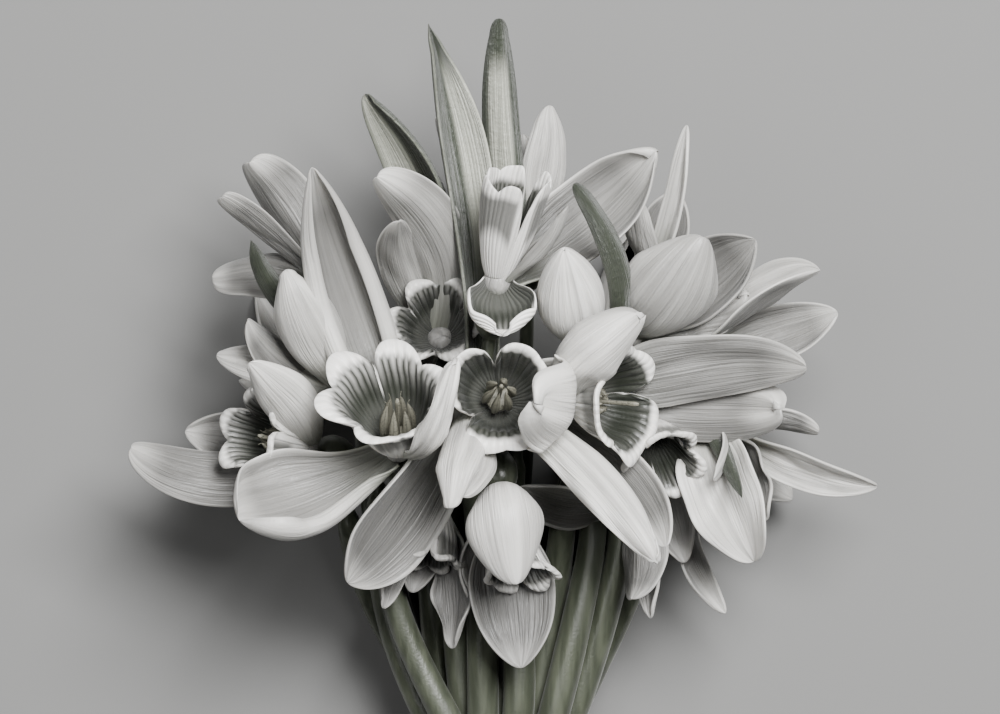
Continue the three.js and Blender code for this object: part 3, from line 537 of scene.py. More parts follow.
@dataclass(frozen=True)
class CupFinish:
    """White of an inner tepal: dark stripes inside that stop at a thick rim, and a dark patch at its back.

    stripes is how many there are, fine_veins and stretch are as on an outer tepal, rim is where the white rim
    begins, teeth how far the stripes reach into it, and relief how high the surface is raised, in metres.
    """

    white: Colour = (242, 240, 235)
    mark: Colour = (38, 41, 34)
    # dark colour deep inside the cup: partly the inner face's own green, partly painted shade in its depth
    throat: Colour = (44, 47, 40)
    stripes: float = 7.0
    fine_veins: float = 14.0
    stretch: float = 0.2
    rim: float = 0.93
    teeth: float = 0.05
    roughness: float = 0.4
    relief: float = 0.00015

    def material(self) -> bpy.types.Material:
        """Builds the finish."""
        g = Graph("cup_white")
        u, s, inside, shade, dark = g.attributes("across", "along", "inside", "shade", "dark")
        place = g.place(u, s * self.stretch, shade * PATTERN_SHIFT)
        wobble = g.noise(2.5, 2, at=place) * 3.0 + g.noise(300, 2) * 0.8
        stripes = g.lines(u, self.stripes, wobble, 0.8)
        fine = g.noise(self.fine_veins, 3, at=place).ridge(7)
        side = g.maths("MAXIMUM", abs(u).span(0.985, self.rim), s.span(0.62, 0.42))
        ragged = stripes * (1 - dark * 0.9) * self.teeth + dark * 0.03 + s
        inner = inside.span(0.3, 0.8) * side * ragged.span(self.rim, self.rim - 0.08)
        even = dark * 0.68 + 0.28
        marks = s.span(0.3, 0.5) * (even + (1 - even) * stripes)
        patch = abs(u).span(0.75, 0.55) * (u * u * 0.3 + s).span(0.5, 0.66) * s.span(0.92, 0.84)
        # darker towards the bottom of the inner face: partly its own green, partly painted shade in the cup's
        # depth
        colour = g.mix(s.span(0.92, 0.52, 0.0, 0.95) * inner, self.white, self.throat)
        colour = g.mix(marks * inner, colour, self.mark)
        colour = g.mix(patch * inside.span(0.4, 0.1) * 0.8, colour, self.mark)
        # painted shade over the whole cup, from its shade value, with faint fine veins
        colour = g.dimmed(colour, shade * (1 - fine * 0.12))
        g.bump(g.noise(2600, 1) * 0.3 - stripes * 0.8, self.relief, 0.8)
        return g.finish(colour, self.roughness, soft=0.12, radius=0.0008, sheen=0.1, specular=0.45)


@dataclass(frozen=True)
class StemFinish:
    """Waxy grey-green skin with faint lines along it, paler where a stem was cut; relief is in metres."""

    green: Colour = (80, 84, 71)
    deep: Colour = (54, 58, 47)
    cut: Colour = (190, 192, 164)
    relief: float = 0.00015

    def material(self) -> bpy.types.Material:
        """Builds the finish."""
        g = Graph("stem_green")
        inside, shade = g.attributes("inside", "shade")
        streaks, clouds = g.noise(900, 3, (1.0, 0.05, 1.0)), g.noise(90, 3)
        colour = g.mix(streaks.span(0.3, 0.7), self.deep, self.green)
        colour = g.mix(clouds.span(0.35, 0.75, 0.0, 0.5), colour, self.deep)
        colour = g.mix(inside.span(0.4, 0.9), colour, self.cut)
        g.bump(g.noise(3000, 2) * 0.3 + streaks, self.relief, 0.7)
        # dimmed by the painted shade value, which is 1 on every stem
        return g.finish(g.dimmed(colour, shade), clouds.span(0.3, 0.7, 0.3, 0.44), soft=0.12, radius=0.0008,
                        sheen=0.15)


@dataclass(frozen=True)
class SpatheFinish:
    """Green blade with a band of paler skin, from low to high across it and up to top along it.

    relief is how high the surface is raised, in metres.
    """

    name: str
    low: float
    high: float
    top: float
    green: Colour = (52, 57, 46)
    pale: Colour = (172, 173, 161)
    relief: float = 0.00018

    def material(self) -> bpy.types.Material:
        """Builds the finish."""
        g = Graph(self.name)
        u, t = g.attributes("across", "along")
        lines = g.noise(9.0, 3, at=g.place(u, t * 0.12, 0.0)).ridge(9)
        speckle = g.noise(1500, 4).span(0.35, 0.7)
        band = u.span(self.low - 0.12, self.low + 0.1) * u.span(self.high + 0.15, self.high - 0.15)
        bare = band * t.span(self.top + 0.04, self.top - 0.08) * t.span(0.3, 0.55)
        colour = g.mix(speckle * 0.5, self.green, shaded(self.green, 0.72))
        colour = g.mix(bare, colour, self.pale)
        colour = g.mix(lines * 0.35, colour, shaded(self.green, 1.1))
        colour = g.mix(abs(u).span(0.93, 1.0, 0.0, 0.2), colour, self.pale)
        g.bump(speckle * 0.5 + lines, self.relief, 0.8)
        return g.finish(colour, 0.42, soft=0.12, radius=0.0008, sheen=0.2)


@dataclass(frozen=True)
class AntherFinish:
    """Dull olive-yellow of pollen sacs, with darker seams along each."""

    olive: Colour = (124, 122, 109)
    seam: Colour = (58, 57, 50)

    def material(self) -> bpy.types.Material:
        """Builds the finish."""
        g = Graph("anther_olive")
        across, = g.attributes("across")
        grain = g.noise(3500, 2)
        colour = g.mix(grain.span(0.2, 0.5), self.seam, self.olive)
        colour = g.mix(g.lines(across, 2, 0.0, 4) * 0.7, colour, self.seam)
        g.bump(grain, 0.0001, 0.8)
        return g.finish(colour, 0.5, soft=0.1, radius=0.0005)


@dataclass(frozen=True)
class TwineFinish:
    """Dry straw-coloured fibres, lighter on the high ones, that wind round each ply."""

    straw: Colour = (176, 156, 118)
    shadow: Colour = (108, 90, 62)
    fibres: int = 6
    winding: float = 900.0

    def material(self) -> bpy.types.Material:
        """Builds the finish."""
        g = Graph("twine_straw")
        across, along = g.attributes("across", "along")
        fibres = g.lines(across, self.fibres, along * self.winding + g.noise(500, 3) * 6.0, 1.0)
        colour = g.mix(fibres, self.straw, self.shadow)
        colour = g.mix(g.noise(300, 4).span(0.3, 0.7, 0.0, 0.35), colour, self.shadow)
        g.bump(fibres * -1.0, 0.0002, 0.9)
        return g.finish(colour, 0.85, sheen=0.3)


# ---- flowers ----
@dataclass(frozen=True)
class Tepal:
    """One outer tepal, given by its tip and width, as in the part's source, and by how it turns.

    bow is how far the spine swings away from the axis, as a share of its length, and bend moves the spine's
    middle. curve is how much the section is cupped, keel its crease, roll and twist its turns in degrees.
    shoulder is where the tepal is widest, claw how wide it starts, and point how slim its tip is. furl is how
    far the two margins turn in, in radians, from furl_from of the half width outwards. wave is how far the
    margins ripple, as a share of the half width, waves times along the tepal. hood bends the tip in from
    nod_from onwards. dents are soft hollows all over and ridges fine furrows, ragged and notch shape the
    tip's edge, and thickness is the middle's, all in millimetres. Lined tepals carry the stripes of the inner
    ones. shade is the painted shade on the tepal, how much darker it is drawn for the shadow it lies in, and
    dark how evenly dark the inner face of a lined one is.
    """

    tip: Vec
    width: float
    bow: float = 0.1
    curve: float = 0.8
    roll: float = 0.0
    shoulder: float = 0.5
    claw: float = 0.3
    point: float = 0.6
    bend: Vec = (0.0, 0.0, 0.0)
    furl: tuple[float, float] = (0.25, 0.25)
    furl_from: float = 0.6
    wave: float = 0.05
    waves: float = 1.6
    hood: float = 0.03
    nod_from: float = 0.72
    keel: float = 0.0
    twist: float = 0.0
    dents: float = 0.14
    ridges: float = 0.03
    ragged: float = 0.0
    notch: float = 0.0
    notch_width: float = 0.3
    lined: bool = False
    dark: float = 0.3
    shade: float = 1.0
    thickness: float = 0.5
    rows: int = 52
    columns: int = 28

    @property
    def own(self) -> float:
        """A number of this tepal's own, so that no two ripple alike."""
        return 3.7 * self.width + self.tip[0]

    def half_width(self, t: np.ndarray) -> np.ndarray:
        """Half the width: it eases out from the claw to the shoulder, and closes to the point.

        Args:
            t: places along the tepal.

        Returns:
            Half the width at each.
        """
        rise = self.claw + (1 - self.claw) * ease(t / self.shoulder) ** 0.8
        fall = (1 - ramp(t, self.shoulder, 1) ** 2.2) ** self.point
        return np.maximum(rise * fall, 0.012) * self.width / 2

    def relief(self, t: np.ndarray, u: np.ndarray, half: np.ndarray) -> np.ndarray:
        """How far each point rises off the section: rippled margins, soft hollows, fine ridges, a ragged tip.

        Args:
            t: places along the tepal.
            u: places across it.
            half: half its width.

        Returns:
            The rise at each point: sums of waves along and across it.
        """
        own, far = self.own, np.abs(u)
        ripple = self.wave * half * far ** 2.5 * np.sin(2 * np.pi * self.waves * t + 1.9 * u + self.width)
        hollows = self.dents * (np.sin(5.3 * t + 2.1 * u + own) + 0.6 * np.sin(11 * t - 3.9 * u + 2 * own)
                                + 0.35 * np.sin(17 * t + 7.3 * u + 3 * own))
        ridges = self.ridges * np.cos(9 * np.pi * u + own) * (1 - far ** 4)
        torn = 0.7 * self.ragged * np.sin(6 * u + own + 1.2) * t ** 4
        return ripple + (hollows + ridges) * np.sin(np.pi * t) + torn

    def skin(self, base: Vec, axis: Vec) -> Skin:
        """The tepal as a closed thin shell.

        The spine is an arc from the base to the tip, bowed away from the axis. Across it, the section is
        drawn by its slope: an arc's slope grows evenly from the middle, each margin adds its own turn, and a
        keel adds a crease in the middle. The slope's cosine and sine, added up from the middle, give how far
        out and how high each point lies.

        Args:
            base: where the tepals spring from.
            axis: the way the flower faces.

        Returns:
            The closed skin.
        """
        along = unit(np.array(axis, float))
        root = np.array(base, float) - CLAW_SINK * along
        chord = np.array(self.tip, float) - root
        length = float(np.linalg.norm(chord))
        straight = chord / length
        inward = unit(along - (along @ straight) * straight)
        facing = spoke(math.radians(self.roll), inward, np.cross(straight, inward))
        belly = -self.bow * length * facing + np.array(self.bend)

        t, u = up_blade(self.rows, 1.5, 0.02), across_blade(self.columns)
        far, nod = np.abs(u), ramp(t, self.nod_from, 1)
        centre = root + chord * t + belly * (4 * t * (1 - t)) + facing * (self.hood * length * nod ** 2)
        tangent = unit(np.gradient(centre, t[:, 0], axis=0))
        normal = unit(facing - (tangent @ facing)[:, None] * tangent)
        side = np.cross(tangent, normal)
        turn = math.radians(self.twist) * (t[:, 0] - 0.5)
        normal, side = spoke(turn, normal, side), spoke(turn, side, -normal)

        half = self.half_width(t)
        arc = np.minimum(self.curve * (1 + 0.5 * (1 - t) ** 2 + 0.6 * nod ** 2), half / 1.1)
        margin = ramp(far, self.furl_from, 1) ** 1.4
        turned_in = np.where(u < 0, self.furl[0], self.furl[1]) * margin * ease(t / 0.3) * (1 - 0.6 * nod)
        slope = arc * u + turned_in * np.sign(u) + self.keel * np.tanh(5 * u) * ease(t / 0.3)
        out = summed_from_middle(np.cos(slope), u) * half
        rise = summed_from_middle(np.sin(slope), u) * half + self.relief(t, u, half)
        dip = self.notch * np.exp(-((u / self.notch_width) ** 2))
        onward = (self.ragged * np.sin(7 * u + self.own) - dip) * t ** 5
        mid = (centre[:, None] + out[..., None] * side[:, None] + rise[..., None] * normal[:, None]
               + onward[..., None] * tangent[:, None])
        edge = round_edge(u, 10) * round_edge(t, 30, 0.02) * (1 + 0.35 * far ** 6)
        across = u * (1.2 if self.lined else 1.0)
        return shell(mid, self.thickness / 2 * edge, across, t, self.shade, self.dark)


def summed_from_middle(values: np.ndarray, places: np.ndarray) -> np.ndarray:
    """The running sum of values over places, by trapezia, counted from the middle column both ways.

    Args:
        values: what is added up, row by row.
        places: where each column lies.

    Returns:
        The sum at each point.
    """
    steps = np.diff(places, axis=1) * (values[:, 1:] + values[:, :-1]) / 2
    total = np.concatenate([np.zeros((len(values), 1)), np.cumsum(steps, 1)], 1)
    middle = total.shape[1] // 2
    return total - total[:, middle:middle + 1]


@dataclass(frozen=True)
class Cup:
    """The three inner tepals: the turn of the first one in degrees, the mouth's radius and their length.

    shift moves the mouth to one side, flares is how far each lip turns out from lip_from onwards, cleft how
    deep the gaps between two tepals are and notch how deep each tepal's own notch is, as shares of its
    length, ripple how deep the furrows between the stripes are and furrows how many half a tepal has, and
    spread how much more than a third of the round each tepal takes. thickness is half of what a tepal has in
    its middle and bead what its rim adds. shade is the painted shade on the cup, how much darker it is drawn
    for the shadow it lies in, and dark how evenly dark its inner face.
    """

    roll: float
    radius: float
    length: float
    shift: Vec = (0.0, 0.0, 0.0)
    flares: tuple[float, float, float] = (1.0, 1.0, 1.0)
    lip_from: float = 0.7
    cleft: float = 0.32
    notch: float = 0.15
    ripple: float = 0.16
    furrows: float = 4.5
    spread: float = 1.04
    thickness: float = 0.28
    bead: float = 0.2
    dark: float = 0.1
    shade: float = 1.0
    rows: int = 52
    columns: int = 44

    def skins(self, base: Vec, axis: Vec) -> list[Skin]:
        """The three tepals, each a closed shell.

        Each stands on a circle round the flower's axis. Going up it, the radius opens quickly and then stands
        up, the lip turns out, and the circle moves to one side by the square of the height; its upper edge is
        two round lobes with a notch between them, by a power of the distance from each lobe's middle.

        Args:
            base: where the tepals spring from.
            axis: the way the flower faces.

        Returns:
            The three closed skins.
        """
        along, first, second = cross_frame(axis)
        v, u = up_blade(self.rows, 1.4), across_blade(self.columns)
        lobe = 2 * np.abs(u) - 1
        reach = 1 - np.where(lobe < 0, self.notch * np.abs(lobe) ** 1.8, self.cleft * np.abs(lobe) ** 2.4)
        s = (CUP_START + (1 - CUP_START) * v) * reach
        lip = ramp(s, self.lip_from, 1) ** 2
        furrow = ramp(s, 0.3, 0.55) * ramp(s, 0.92, 0.8) * (1 - u ** 6)
        bead = self.bead * np.exp(-(((v - 0.93) / 0.06) ** 2))
        edge = round_edge(u, 12) * round_edge(v, 26, 0.03)
        skins = []
        for k, flare in enumerate(self.flares):
            own = self.roll + 2.1 * k
            half = (self.thickness + bead * min(1, flare) + 0.06 * np.abs(u) ** 8) * edge
            radius = 1 + (self.radius * 0.82 - 1) * (1 - (1 - s) ** 2) + self.radius * 0.3 * flare * lip
            radius += 0.9 * (1 - u * u) * s + 0.12 * u
            radius -= self.ripple * np.cos(2 * np.pi * self.furrows * u + 0.7 * np.sin(own)) * furrow
            radius += 0.22 * s ** 3 * np.sin(5 * u + own) + 0.12 * s * np.sin(9 * s + 3 * u + own)
            height = 0.3 + self.length * (0.88 * s ** 1.2 - 0.16 * flare * lip)
            height += 0.25 * s ** 4 * np.sin(8 * u + 2 * own)
            angle = math.radians(self.roll + 120 * k) + np.pi / 3 * self.spread * u + 0 * s
            mid = (np.array(base, float) + radius[..., None] * spoke(angle, first, second)
                   + height[..., None] * along + (s ** 2)[..., None] * np.array(self.shift, float))
            skins.append(shell(mid, half, u, s, self.shade, self.dark))
        return skins


@dataclass(frozen=True)
class Bud:
    """A closed bud: an egg whose three tepals overlap at their margins."""

    length: float
    width: float
    roll: float
    overlap: float = 1.22
    step: float = 0.16
    thickness: float = 0.2
    # painted light: a shade above 1 draws the bud lighter than plain white
    shade: float = 1.08

    def skins(self, base: Vec, axis: Vec) -> list[Skin]:
        """The bud's three tepals round its axis.

        Each covers a little over a third of an egg: the girth is a sine of the place along the bud, raised to
        a power, and one margin lies a step outside its neighbour's.

        Args:
            base: where the tepals spring from.
            axis: the way the bud points.

        Returns:
            The three closed skins.
        """
        along, first, second = cross_frame(axis)
        t, u = np.linspace(0.01, 0.995, 44)[:, None], across_blade(32)
        girth = self.width / 2 * np.maximum(0.02, np.sin(np.pi * t ** 0.9) ** 0.75)
        out = girth * (0.97 + 0.03 * (1 - u * u)) + self.step * u * np.sin(np.pi * t) ** 0.5
        skins = []
        for k in range(3):
            angle = math.radians(self.roll + 120 * k + 60) + self.overlap * np.pi / 3 * u + 0 * t
            mid = (np.array(base, float) + out[..., None] * spoke(angle, first, second)
                   + (t * self.length)[..., None] * along)
            skins.append(shell(mid, self.thickness * round_edge(u, 12) + 0 * t, u, t, self.shade))
        return skins


@dataclass(frozen=True)
class Stamens:
    """Six plump pointed anthers that lean together round a thin style.

    foot and top are how far from the style they stand at both ends, girth is their radius, and shift moves
    their tips to one side.
    """

    anther_length: float = 6.4
    style_length: float = 8.0
    foot: float = 1.35
    top: float = 0.75
    girth: float = 0.72
    shift: Vec = (0.0, 0.0, 0.0)
    disc_radius: float = 1.7
    disc_height: float = 0.8
    style_radius: float = 0.28

    def skins(self, base: Vec, axis: Vec) -> list[Skin]:
        """The disc, the style and the anthers.

        An anther's radius is a sine of the place along it, raised so that it is fullest low down, and its
        last part is a fine point that curls out.

        Args:
            base: where the tepals spring from.
            axis: the way the flower faces.

        Returns:
            The closed skins.
        """
        along, first, second = cross_frame(axis)
        floor = np.array(base, float) + (RECEPTACLE_RADIUS + 0.6) * along
        step = np.linspace(0, 1, 12)
        up = step[:, None]
        disc = self.disc_radius * round_edge(step, 4, 0.02)
        style = self.style_radius + 0.1 * step ** 6 - 0.2 * (step > 0.99)
        skins = [tube(floor + self.disc_height * up * along, disc, 20),
                 tube(floor + self.style_length * up * along + up * self.shift, style, 10)]
        t = np.linspace(0, 1, 22)
        fat = np.sin(np.pi * ramp(t, 0, 0.9) ** 0.62) ** 0.7
        radii = np.maximum(self.girth * fat, 0.07 * (1 - t) + 0.03)
        groove = 1 - 0.16 * np.cos(2 * np.linspace(0, 2 * np.pi, 14, endpoint=False)) ** 8
        lean = self.foot + 0.35 * np.sin(np.pi * t) + (self.top - self.foot) * t + 0.5 * ramp(t, 0.88, 1) ** 2
        for k in range(6):
            out = spoke(math.pi * k / 3 + 0.3, first, second)
            long = self.anther_length + 0.25 * math.sin(5 * k)
            path = floor + lean[:, None] * out + (0.3 + long * t)[:, None] * along + t[:, None] * self.shift
            skins.append(tube(path, radii, 14, groove))
        return skins


class Kind(Enum):
    """What a green blade is, and where its pale skin lies: from and to across it, and its end along it."""

    SPATHE = (2.0, 3.0, 1.0)
    KEELED = (0.05, 1.3, 0.9)
    SKINNED = (-0.42, 0.5, 0.87)
    LEAF = (-0.92, -0.12, 1.1)


@dataclass(frozen=True)
class Blade:
    """A green blade on a flower's own stem: where along the stem it leaves it, and its shape."""

    start: float
    facing: Vec
    shape: Tepal
    kind: Kind = Kind.SPATHE


@dataclass(frozen=True)
class Flower:
    """One flower: where its tepals spring from, the way it faces, and its parts."""

    base: Vec
    axis: Vec
    outer: tuple[Tepal, ...] = ()
    cup: Cup | None = None
    bud: Bud | None = None
    stamens: Stamens | None = None
    blade: Blade | None = None


def tepal(x: float, y: float, z: float, width: float, **more: float | Vec | tuple[float, float]) -> Tepal:
    """An outer tepal by its tip and width."""
    return Tepal((x, y, z), width, **more)


def green(x: float, y: float, z: float, width: float, **more: float | Vec) -> Tepal:
    """A green blade by its tip and width: what all of them share, with its own values over it."""
    shared = dict(bow=0.03, shoulder=0.45, claw=0.6, point=0.8, furl=(0.1, 0.1), wave=0.02, hood=0.0,
                  thickness=0.6)
    return Tepal((x, y, z), width, **{**shared, **more})


# shade values below 1 are painted shade on tepals and cups that lie in shadow or far from the light
FLOWERS: dict[str, Flower] = {
    "front_left": Flower(
        (-13.6, 45.6, 36), (0, 0.62, 0.78),
        (tepal(-25.6, 83, 48, 19, bow=0.05, curve=0.8, bend=(-0.5, 0, -6), shoulder=0.4, point=0.8,
            furl=(3.0, 3.1), furl_from=0.38, hood=0.05, wave=0.04, claw=0.4, shade=0.94),
         tepal(-34.6, 35.4, 43, 19.5, bow=0.03, curve=0.7, bend=(0, -1.6, -2), shoulder=0.7, point=0.28,
            furl=(3.4, 0.6), furl_from=0.45, hood=0.05, shade=0.8),
         tepal(-5.8, 57.2, 50, 4.8, bow=0.0, curve=1.0, roll=-90, bend=(0.4, -4.9, 6.7), wave=0.35,
            waves=2.2, furl=(0.2, 0.2), hood=0.0, shoulder=0.6, point=0.4, claw=0.6, ragged=0.5,
            dents=0.25)),
        Cup(42, 7.3, 12.8, shift=(-2.1, 1.8, 1.0), flares=(1.2, 1.0, 1.2), cleft=0.26, dark=0.3),
        stamens=Stamens(7.4, foot=1.75, top=1.2, girth=0.74)),
    "front_mid": Flower(
        (-0.2, 51.8, 36), (0, 0.15, 0.99),
        (tepal(8.6, 50.6, 52.5, 15, bow=0.05, curve=0.7, roll=10, bend=(3, 0, 0), wave=0.1, waves=3,
            furl=(0.3, 0.3), hood=0.22, shoulder=0.6, point=0.25, claw=0.5, ragged=0.9, notch=0.15,
            dents=0.4),
         tepal(20.3, 31.4, 51, 7.4, bow=0.1, curve=0.9, roll=180, shoulder=0.55, bend=(1.2, 0.8, 0),
            claw=0.6, wave=0.16, waves=2.4, dents=0.45, point=0.45, ragged=0.5),
         tepal(22, 32.4, 44, 7.6, bow=0.04, curve=0.7, bend=(3.6, 1.8, -4), shoulder=0.6, claw=0.4,
            point=0.5, furl=(0.1, 0.8), shade=0.75)),
        Cup(52, 6.4, 12.2, flares=(0.6, 1.3, 0.4), cleft=0.5, notch=0.04, spread=1.0, dark=0.95,
            shade=0.95),
        stamens=Stamens(6.0, foot=1.9, top=0.5, girth=0.62, shift=(0.4, 0.6, 0))),
    "front_right": Flower(
        (9.6, 52.0, 36), (0.8, -0.05, 0.6),
        (tepal(40.8, 57.2, 38, 9.8, bow=0.05, curve=-0.8, keel=0.5, bend=(0, 1, 0), twist=20, hood=0.08,
            shade=0.72, dents=0.3, point=0.5, shoulder=0.42),
         tepal(37.2, 50.8, 35, 9.5, curve=-0.9, keel=0.2, bend=(0, -0.6, -1), hood=0.06, shade=0.78,
            point=0.3, dents=0.25, shoulder=0.65, ragged=0.8, notch=0.6),
         tepal(17.2, 61, 49.5, 12.5, bow=0.2, curve=1.4, roll=95, bend=(-1.6, 1, 2), point=0.24,
            shoulder=0.68, claw=0.75, hood=0.18, dents=0.36, ragged=0.5, shade=0.95)),
        Cup(15, 6.6, 12, flares=(0.9, 1.2, 0.7), cleft=0.5, notch=0.06, dark=0.95),
        stamens=Stamens(3.0, 8.5)),
    "hooded_left": Flower(
        (-5, 49.5, 35), (0, -0.8, 0.6),
        (tepal(-7.6, 40.8, 53, 9.5, bow=0.2, curve=1.4, hood=0.16, claw=0.8, point=0.42, furl=(0.5, 0.5),
            bend=(1.8, -2.4, 1)),
         tepal(-20.9, 28, 39, 15, bend=(1.5, -3, 2.5), shoulder=0.5, claw=0.5, shade=0.6, curve=0.3,
            furl=(0.2, 0.8)),
         tepal(-5.6, 39.9, 49.5, 7.5, bow=0.15, curve=1.2, claw=0.6, point=0.45, shade=0.8,
            bend=(2.2, -2, 0)))),
    "upper_cup": Flower(
        (-0.4, 67.8, 40), (0.12, 0.92, 0.37),
        (tepal(20.7, 84.4, 37, 13, curve=0.7, roll=35, bend=(0, 0, -1.5), shade=0.8, ragged=0.8,
            point=0.45),
         tepal(9.3, 77.5, 46, 6, curve=1.2, furl=(0.9, 0.9), shade=0.5),
         tepal(0.3, 60.4, 47, 13.5, bow=0.12, curve=1.2, bend=(0, 0, 1.2), shoulder=0.42, claw=0.5,
            point=0.4, lined=True, furl=(0.4, 0.4), notch=0.8, ragged=0.25, dark=0.6)),
        Cup(30, 4.4, 17.2, shift=(1.0, 0, 0), flares=(0.1, 0.1, 0.1), cleft=0.55, notch=0.08, ripple=0.06,
            dark=0.8, shade=0.85),
        blade=Blade(0.8, (0.35, 0, 0.95), green(-9.6, 102.4, 33, 9.5, curve=0.9, shoulder=0.62,
            bend=(2.6, 0, 0), keel=0.3, point=1.2), Kind.KEELED)),
    "big_bud": Flower(
        (17.5, 61, 33), (0.45, 0.5, 0.74),
        (tepal(26.9, 72.9, 46, 17, bow=0.22, curve=1.1, point=0.42, roll=180, claw=0.5, hood=0.05,
            dents=0.1, shade=0.62),
         tepal(34.3, 73.3, 36, 12, shade=0.52, curve=0.6, furl=(0.2, 1.0)),
         tepal(32.8, 65.6, 34, 7.5, shade=0.8, curve=-0.5, wave=0.2, waves=3, dents=0.5, ragged=0.8,
            point=0.35, bend=(0, 1, 0)))),
    "right_pair": Flower(
        (27, 58, 27), (0.9, 0.35, 0.25),
        (tepal(42.4, 69.7, 35, 11.5, curve=-0.4, keel=-0.6, bend=(1, -1.5, 0), shade=0.8, dents=0.3),
         tepal(45.6, 63.6, 26, 8.5, shade=0.85, curve=0.5),
         tepal(38, 56, 20, 9, shade=0.8))),
    "upright_right": Flower(
        (20.7, 70, 25), (0.3, 0.9, 0.2),
        (tepal(24.9, 88.7, 32, 4.2, roll=20, curve=-0.8, keel=-0.4, shade=0.8, bend=(1.4, -0.6, 0),
            shoulder=0.35, dents=0.2, claw=0.8),
         tepal(17.7, 79.3, 34, 7, shade=0.7),
         tepal(24, 80, 14, 8, shade=0.6))),
    "top": Flower(
        (4.5, 75, 21), (0.1, 0.98, 0.1),
        (tepal(7, 91.7, 24, 8, shade=0.75),
         tepal(-9.2, 90, 20, 8, shade=0.7),
         tepal(3, 88, 14, 8, shade=0.7)),
        blade=Blade(0.9, (0, 0, -1), green(-0.1, 103.3, 30, 6.5, curve=1.1, bend=(-1.2, 0, 0), point=0.45),
            Kind.SKINNED)),
    "upper_left": Flower(
        (-23.7, 67.3, 28), (-0.75, 0.5, 0.35),
        (tepal(-37.3, 79.5, 31, 4.2, shoulder=0.75, point=0.26, shade=0.66, curve=-0.5, bend=(0, -1, 0)),
         tepal(-33.6, 84.1, 27, 9, roll=20, shade=0.72, curve=-0.5, keel=-0.3, point=0.32, shoulder=0.6),
         tepal(-38.9, 68.2, 24, 8, point=0.3, shade=0.72, curve=-0.6, bend=(0, 3, 2))),
        blade=Blade(0.85, (0, 0, -1), green(-33.2, 73.3, 38, 4.2, curve=1.2, bend=(-2.6, -1.2, 0)))),
    "left": Flower(
        (-20.7, 53.3, 29), (-0.6, 0.5, 0.5),
        (tepal(-28.2, 68.8, 41, 11.5, roll=-90, curve=1.2, bend=(-0.8, 0, 1), hood=0.05, shade=0.85,
            claw=0.5),
         tepal(-38, 58.3, 30, 8, roll=180, curve=0.7, shade=0.78),
         tepal(-34, 62.5, 37, 7, shade=0.8, curve=-0.5, keel=-0.3, point=0.7))),
    "left_cup": Flower(
        (-26.3, 45.6, 26), (-0.78, 0.2, 0.6),
        (tepal(-49.8, 45.2, 28, 9, keel=-0.3, curve=-0.4, bend=(1, -2.6, 0), shade=0.68, point=0.45),
         tepal(-33.1, 56.4, 41, 10, bow=0.12, curve=1.2, roll=-90, bend=(1.5, 0.5, 0), claw=0.6, hood=0.04,
            shade=0.92),
         tepal(-42.7, 47.5, 17, 9, shade=0.7)),
        Cup(20, 5.4, 13, cleft=0.42, dark=0.5, shade=0.8),
        stamens=Stamens(4.5, 5.5)),
    "shaded_cup": Flower(
        (-8, 60, 27), (-0.1, 0.35, 0.93),
        (tepal(-13.6, 76.2, 43.5, 6.5, curve=-0.7, bend=(-1.6, 0, 0), shoulder=0.4, point=0.75, dents=0.25),
         tepal(-16.3, 81.6, 44, 10, bow=0.05, curve=-0.7, keel=-0.3, hood=0, bend=(5, 0.5, 1.5), point=0.45,
            shoulder=0.6, claw=0.6, shade=0.92),
         tepal(-17, 53, 24, 9, shade=0.6)),
        Cup(0, 5.3, 10, dark=0.7, shade=0.6),
        blade=Blade(0.75, (-0.5, 0.1, 0.8), green(-17.0, 93.8, 35, 12, curve=1.0, bend=(4.3, 0, 3),
            point=0.5, hood=0.04), Kind.LEAF)),
    "bud": Flower(
        (10.2, 60, 36), (-0.1, 0.68, 0.72),
        bud=Bud(17.4, 8.6, 20),
        blade=Blade(0.95, (-0.3, 0, -0.9), green(9.8, 80.7, 45, 4.4, curve=1.2, bend=(5.4, -1, 4),
            point=0.4))),
    "hanging": Flower(
        (0.4, 37.8, 33), (0.1, -0.9, 0.42),
        (tepal(2.2, 28, 45, 15, bow=0.32, curve=1.3, point=0.38, shoulder=0.76, claw=0.55, hood=0.03,
            wave=0.0, dents=0.04, bend=(-0.7, 2.5, 2.2), shade=0.87),
         tepal(2.8, 16, 31, 12.5, shade=0.46, curve=0.5),
         tepal(-4, 25, 28, 8, shade=0.7)),
        Cup(0, 4.2, 14, shift=(1.8, 0, -2.5), flares=(0.5, 0.8, 0.8), dark=0.6, shade=0.7)),
    "low_left": Flower(
        (-8.5, 38, 28.5), (-0.15, -0.95, 0.25),
        (tepal(-16, 24, 28, 6, shade=0.6),
         tepal(-6, 18.5, 28, 8, shade=0.5, wave=0.2, waves=2.5),
         tepal(-12, 26, 25, 7, shade=0.5)),
        Cup(60, 3.8, 11, dark=0.8, shade=0.45)),
    "low_right_cup": Flower(
        (19.8, 48.5, 28), (0.25, -0.6, 0.76),
        (tepal(28.8, 41.5, 36, 6, bend=(3.6, 1, -2), shade=0.85, keel=-0.4),
         tepal(25, 30, 22, 8, shade=0.7),
         tepal(33, 36, 22, 9, shade=0.7)),
        Cup(0, 4.8, 11, shift=(0.3, -0.5, 0), cleft=0.4, dark=0.8, shade=0.8)),
    "low_right": Flower(
        (17.5, 38, 25), (-0.2, -0.8, 0.5),
        (tepal(2.6, 40.8, 32, 13, shade=0.5, curve=0.4, bend=(0, -3, 0)),
         tepal(18, 25, 28, 8, keel=-0.3, curve=-0.4, shade=0.72),
         tepal(20.7, 22.4, 22, 6, shade=0.75, twist=60))),
    "right_low": Flower(
        (27.3, 50, 22), (0.35, -0.9, 0.2),
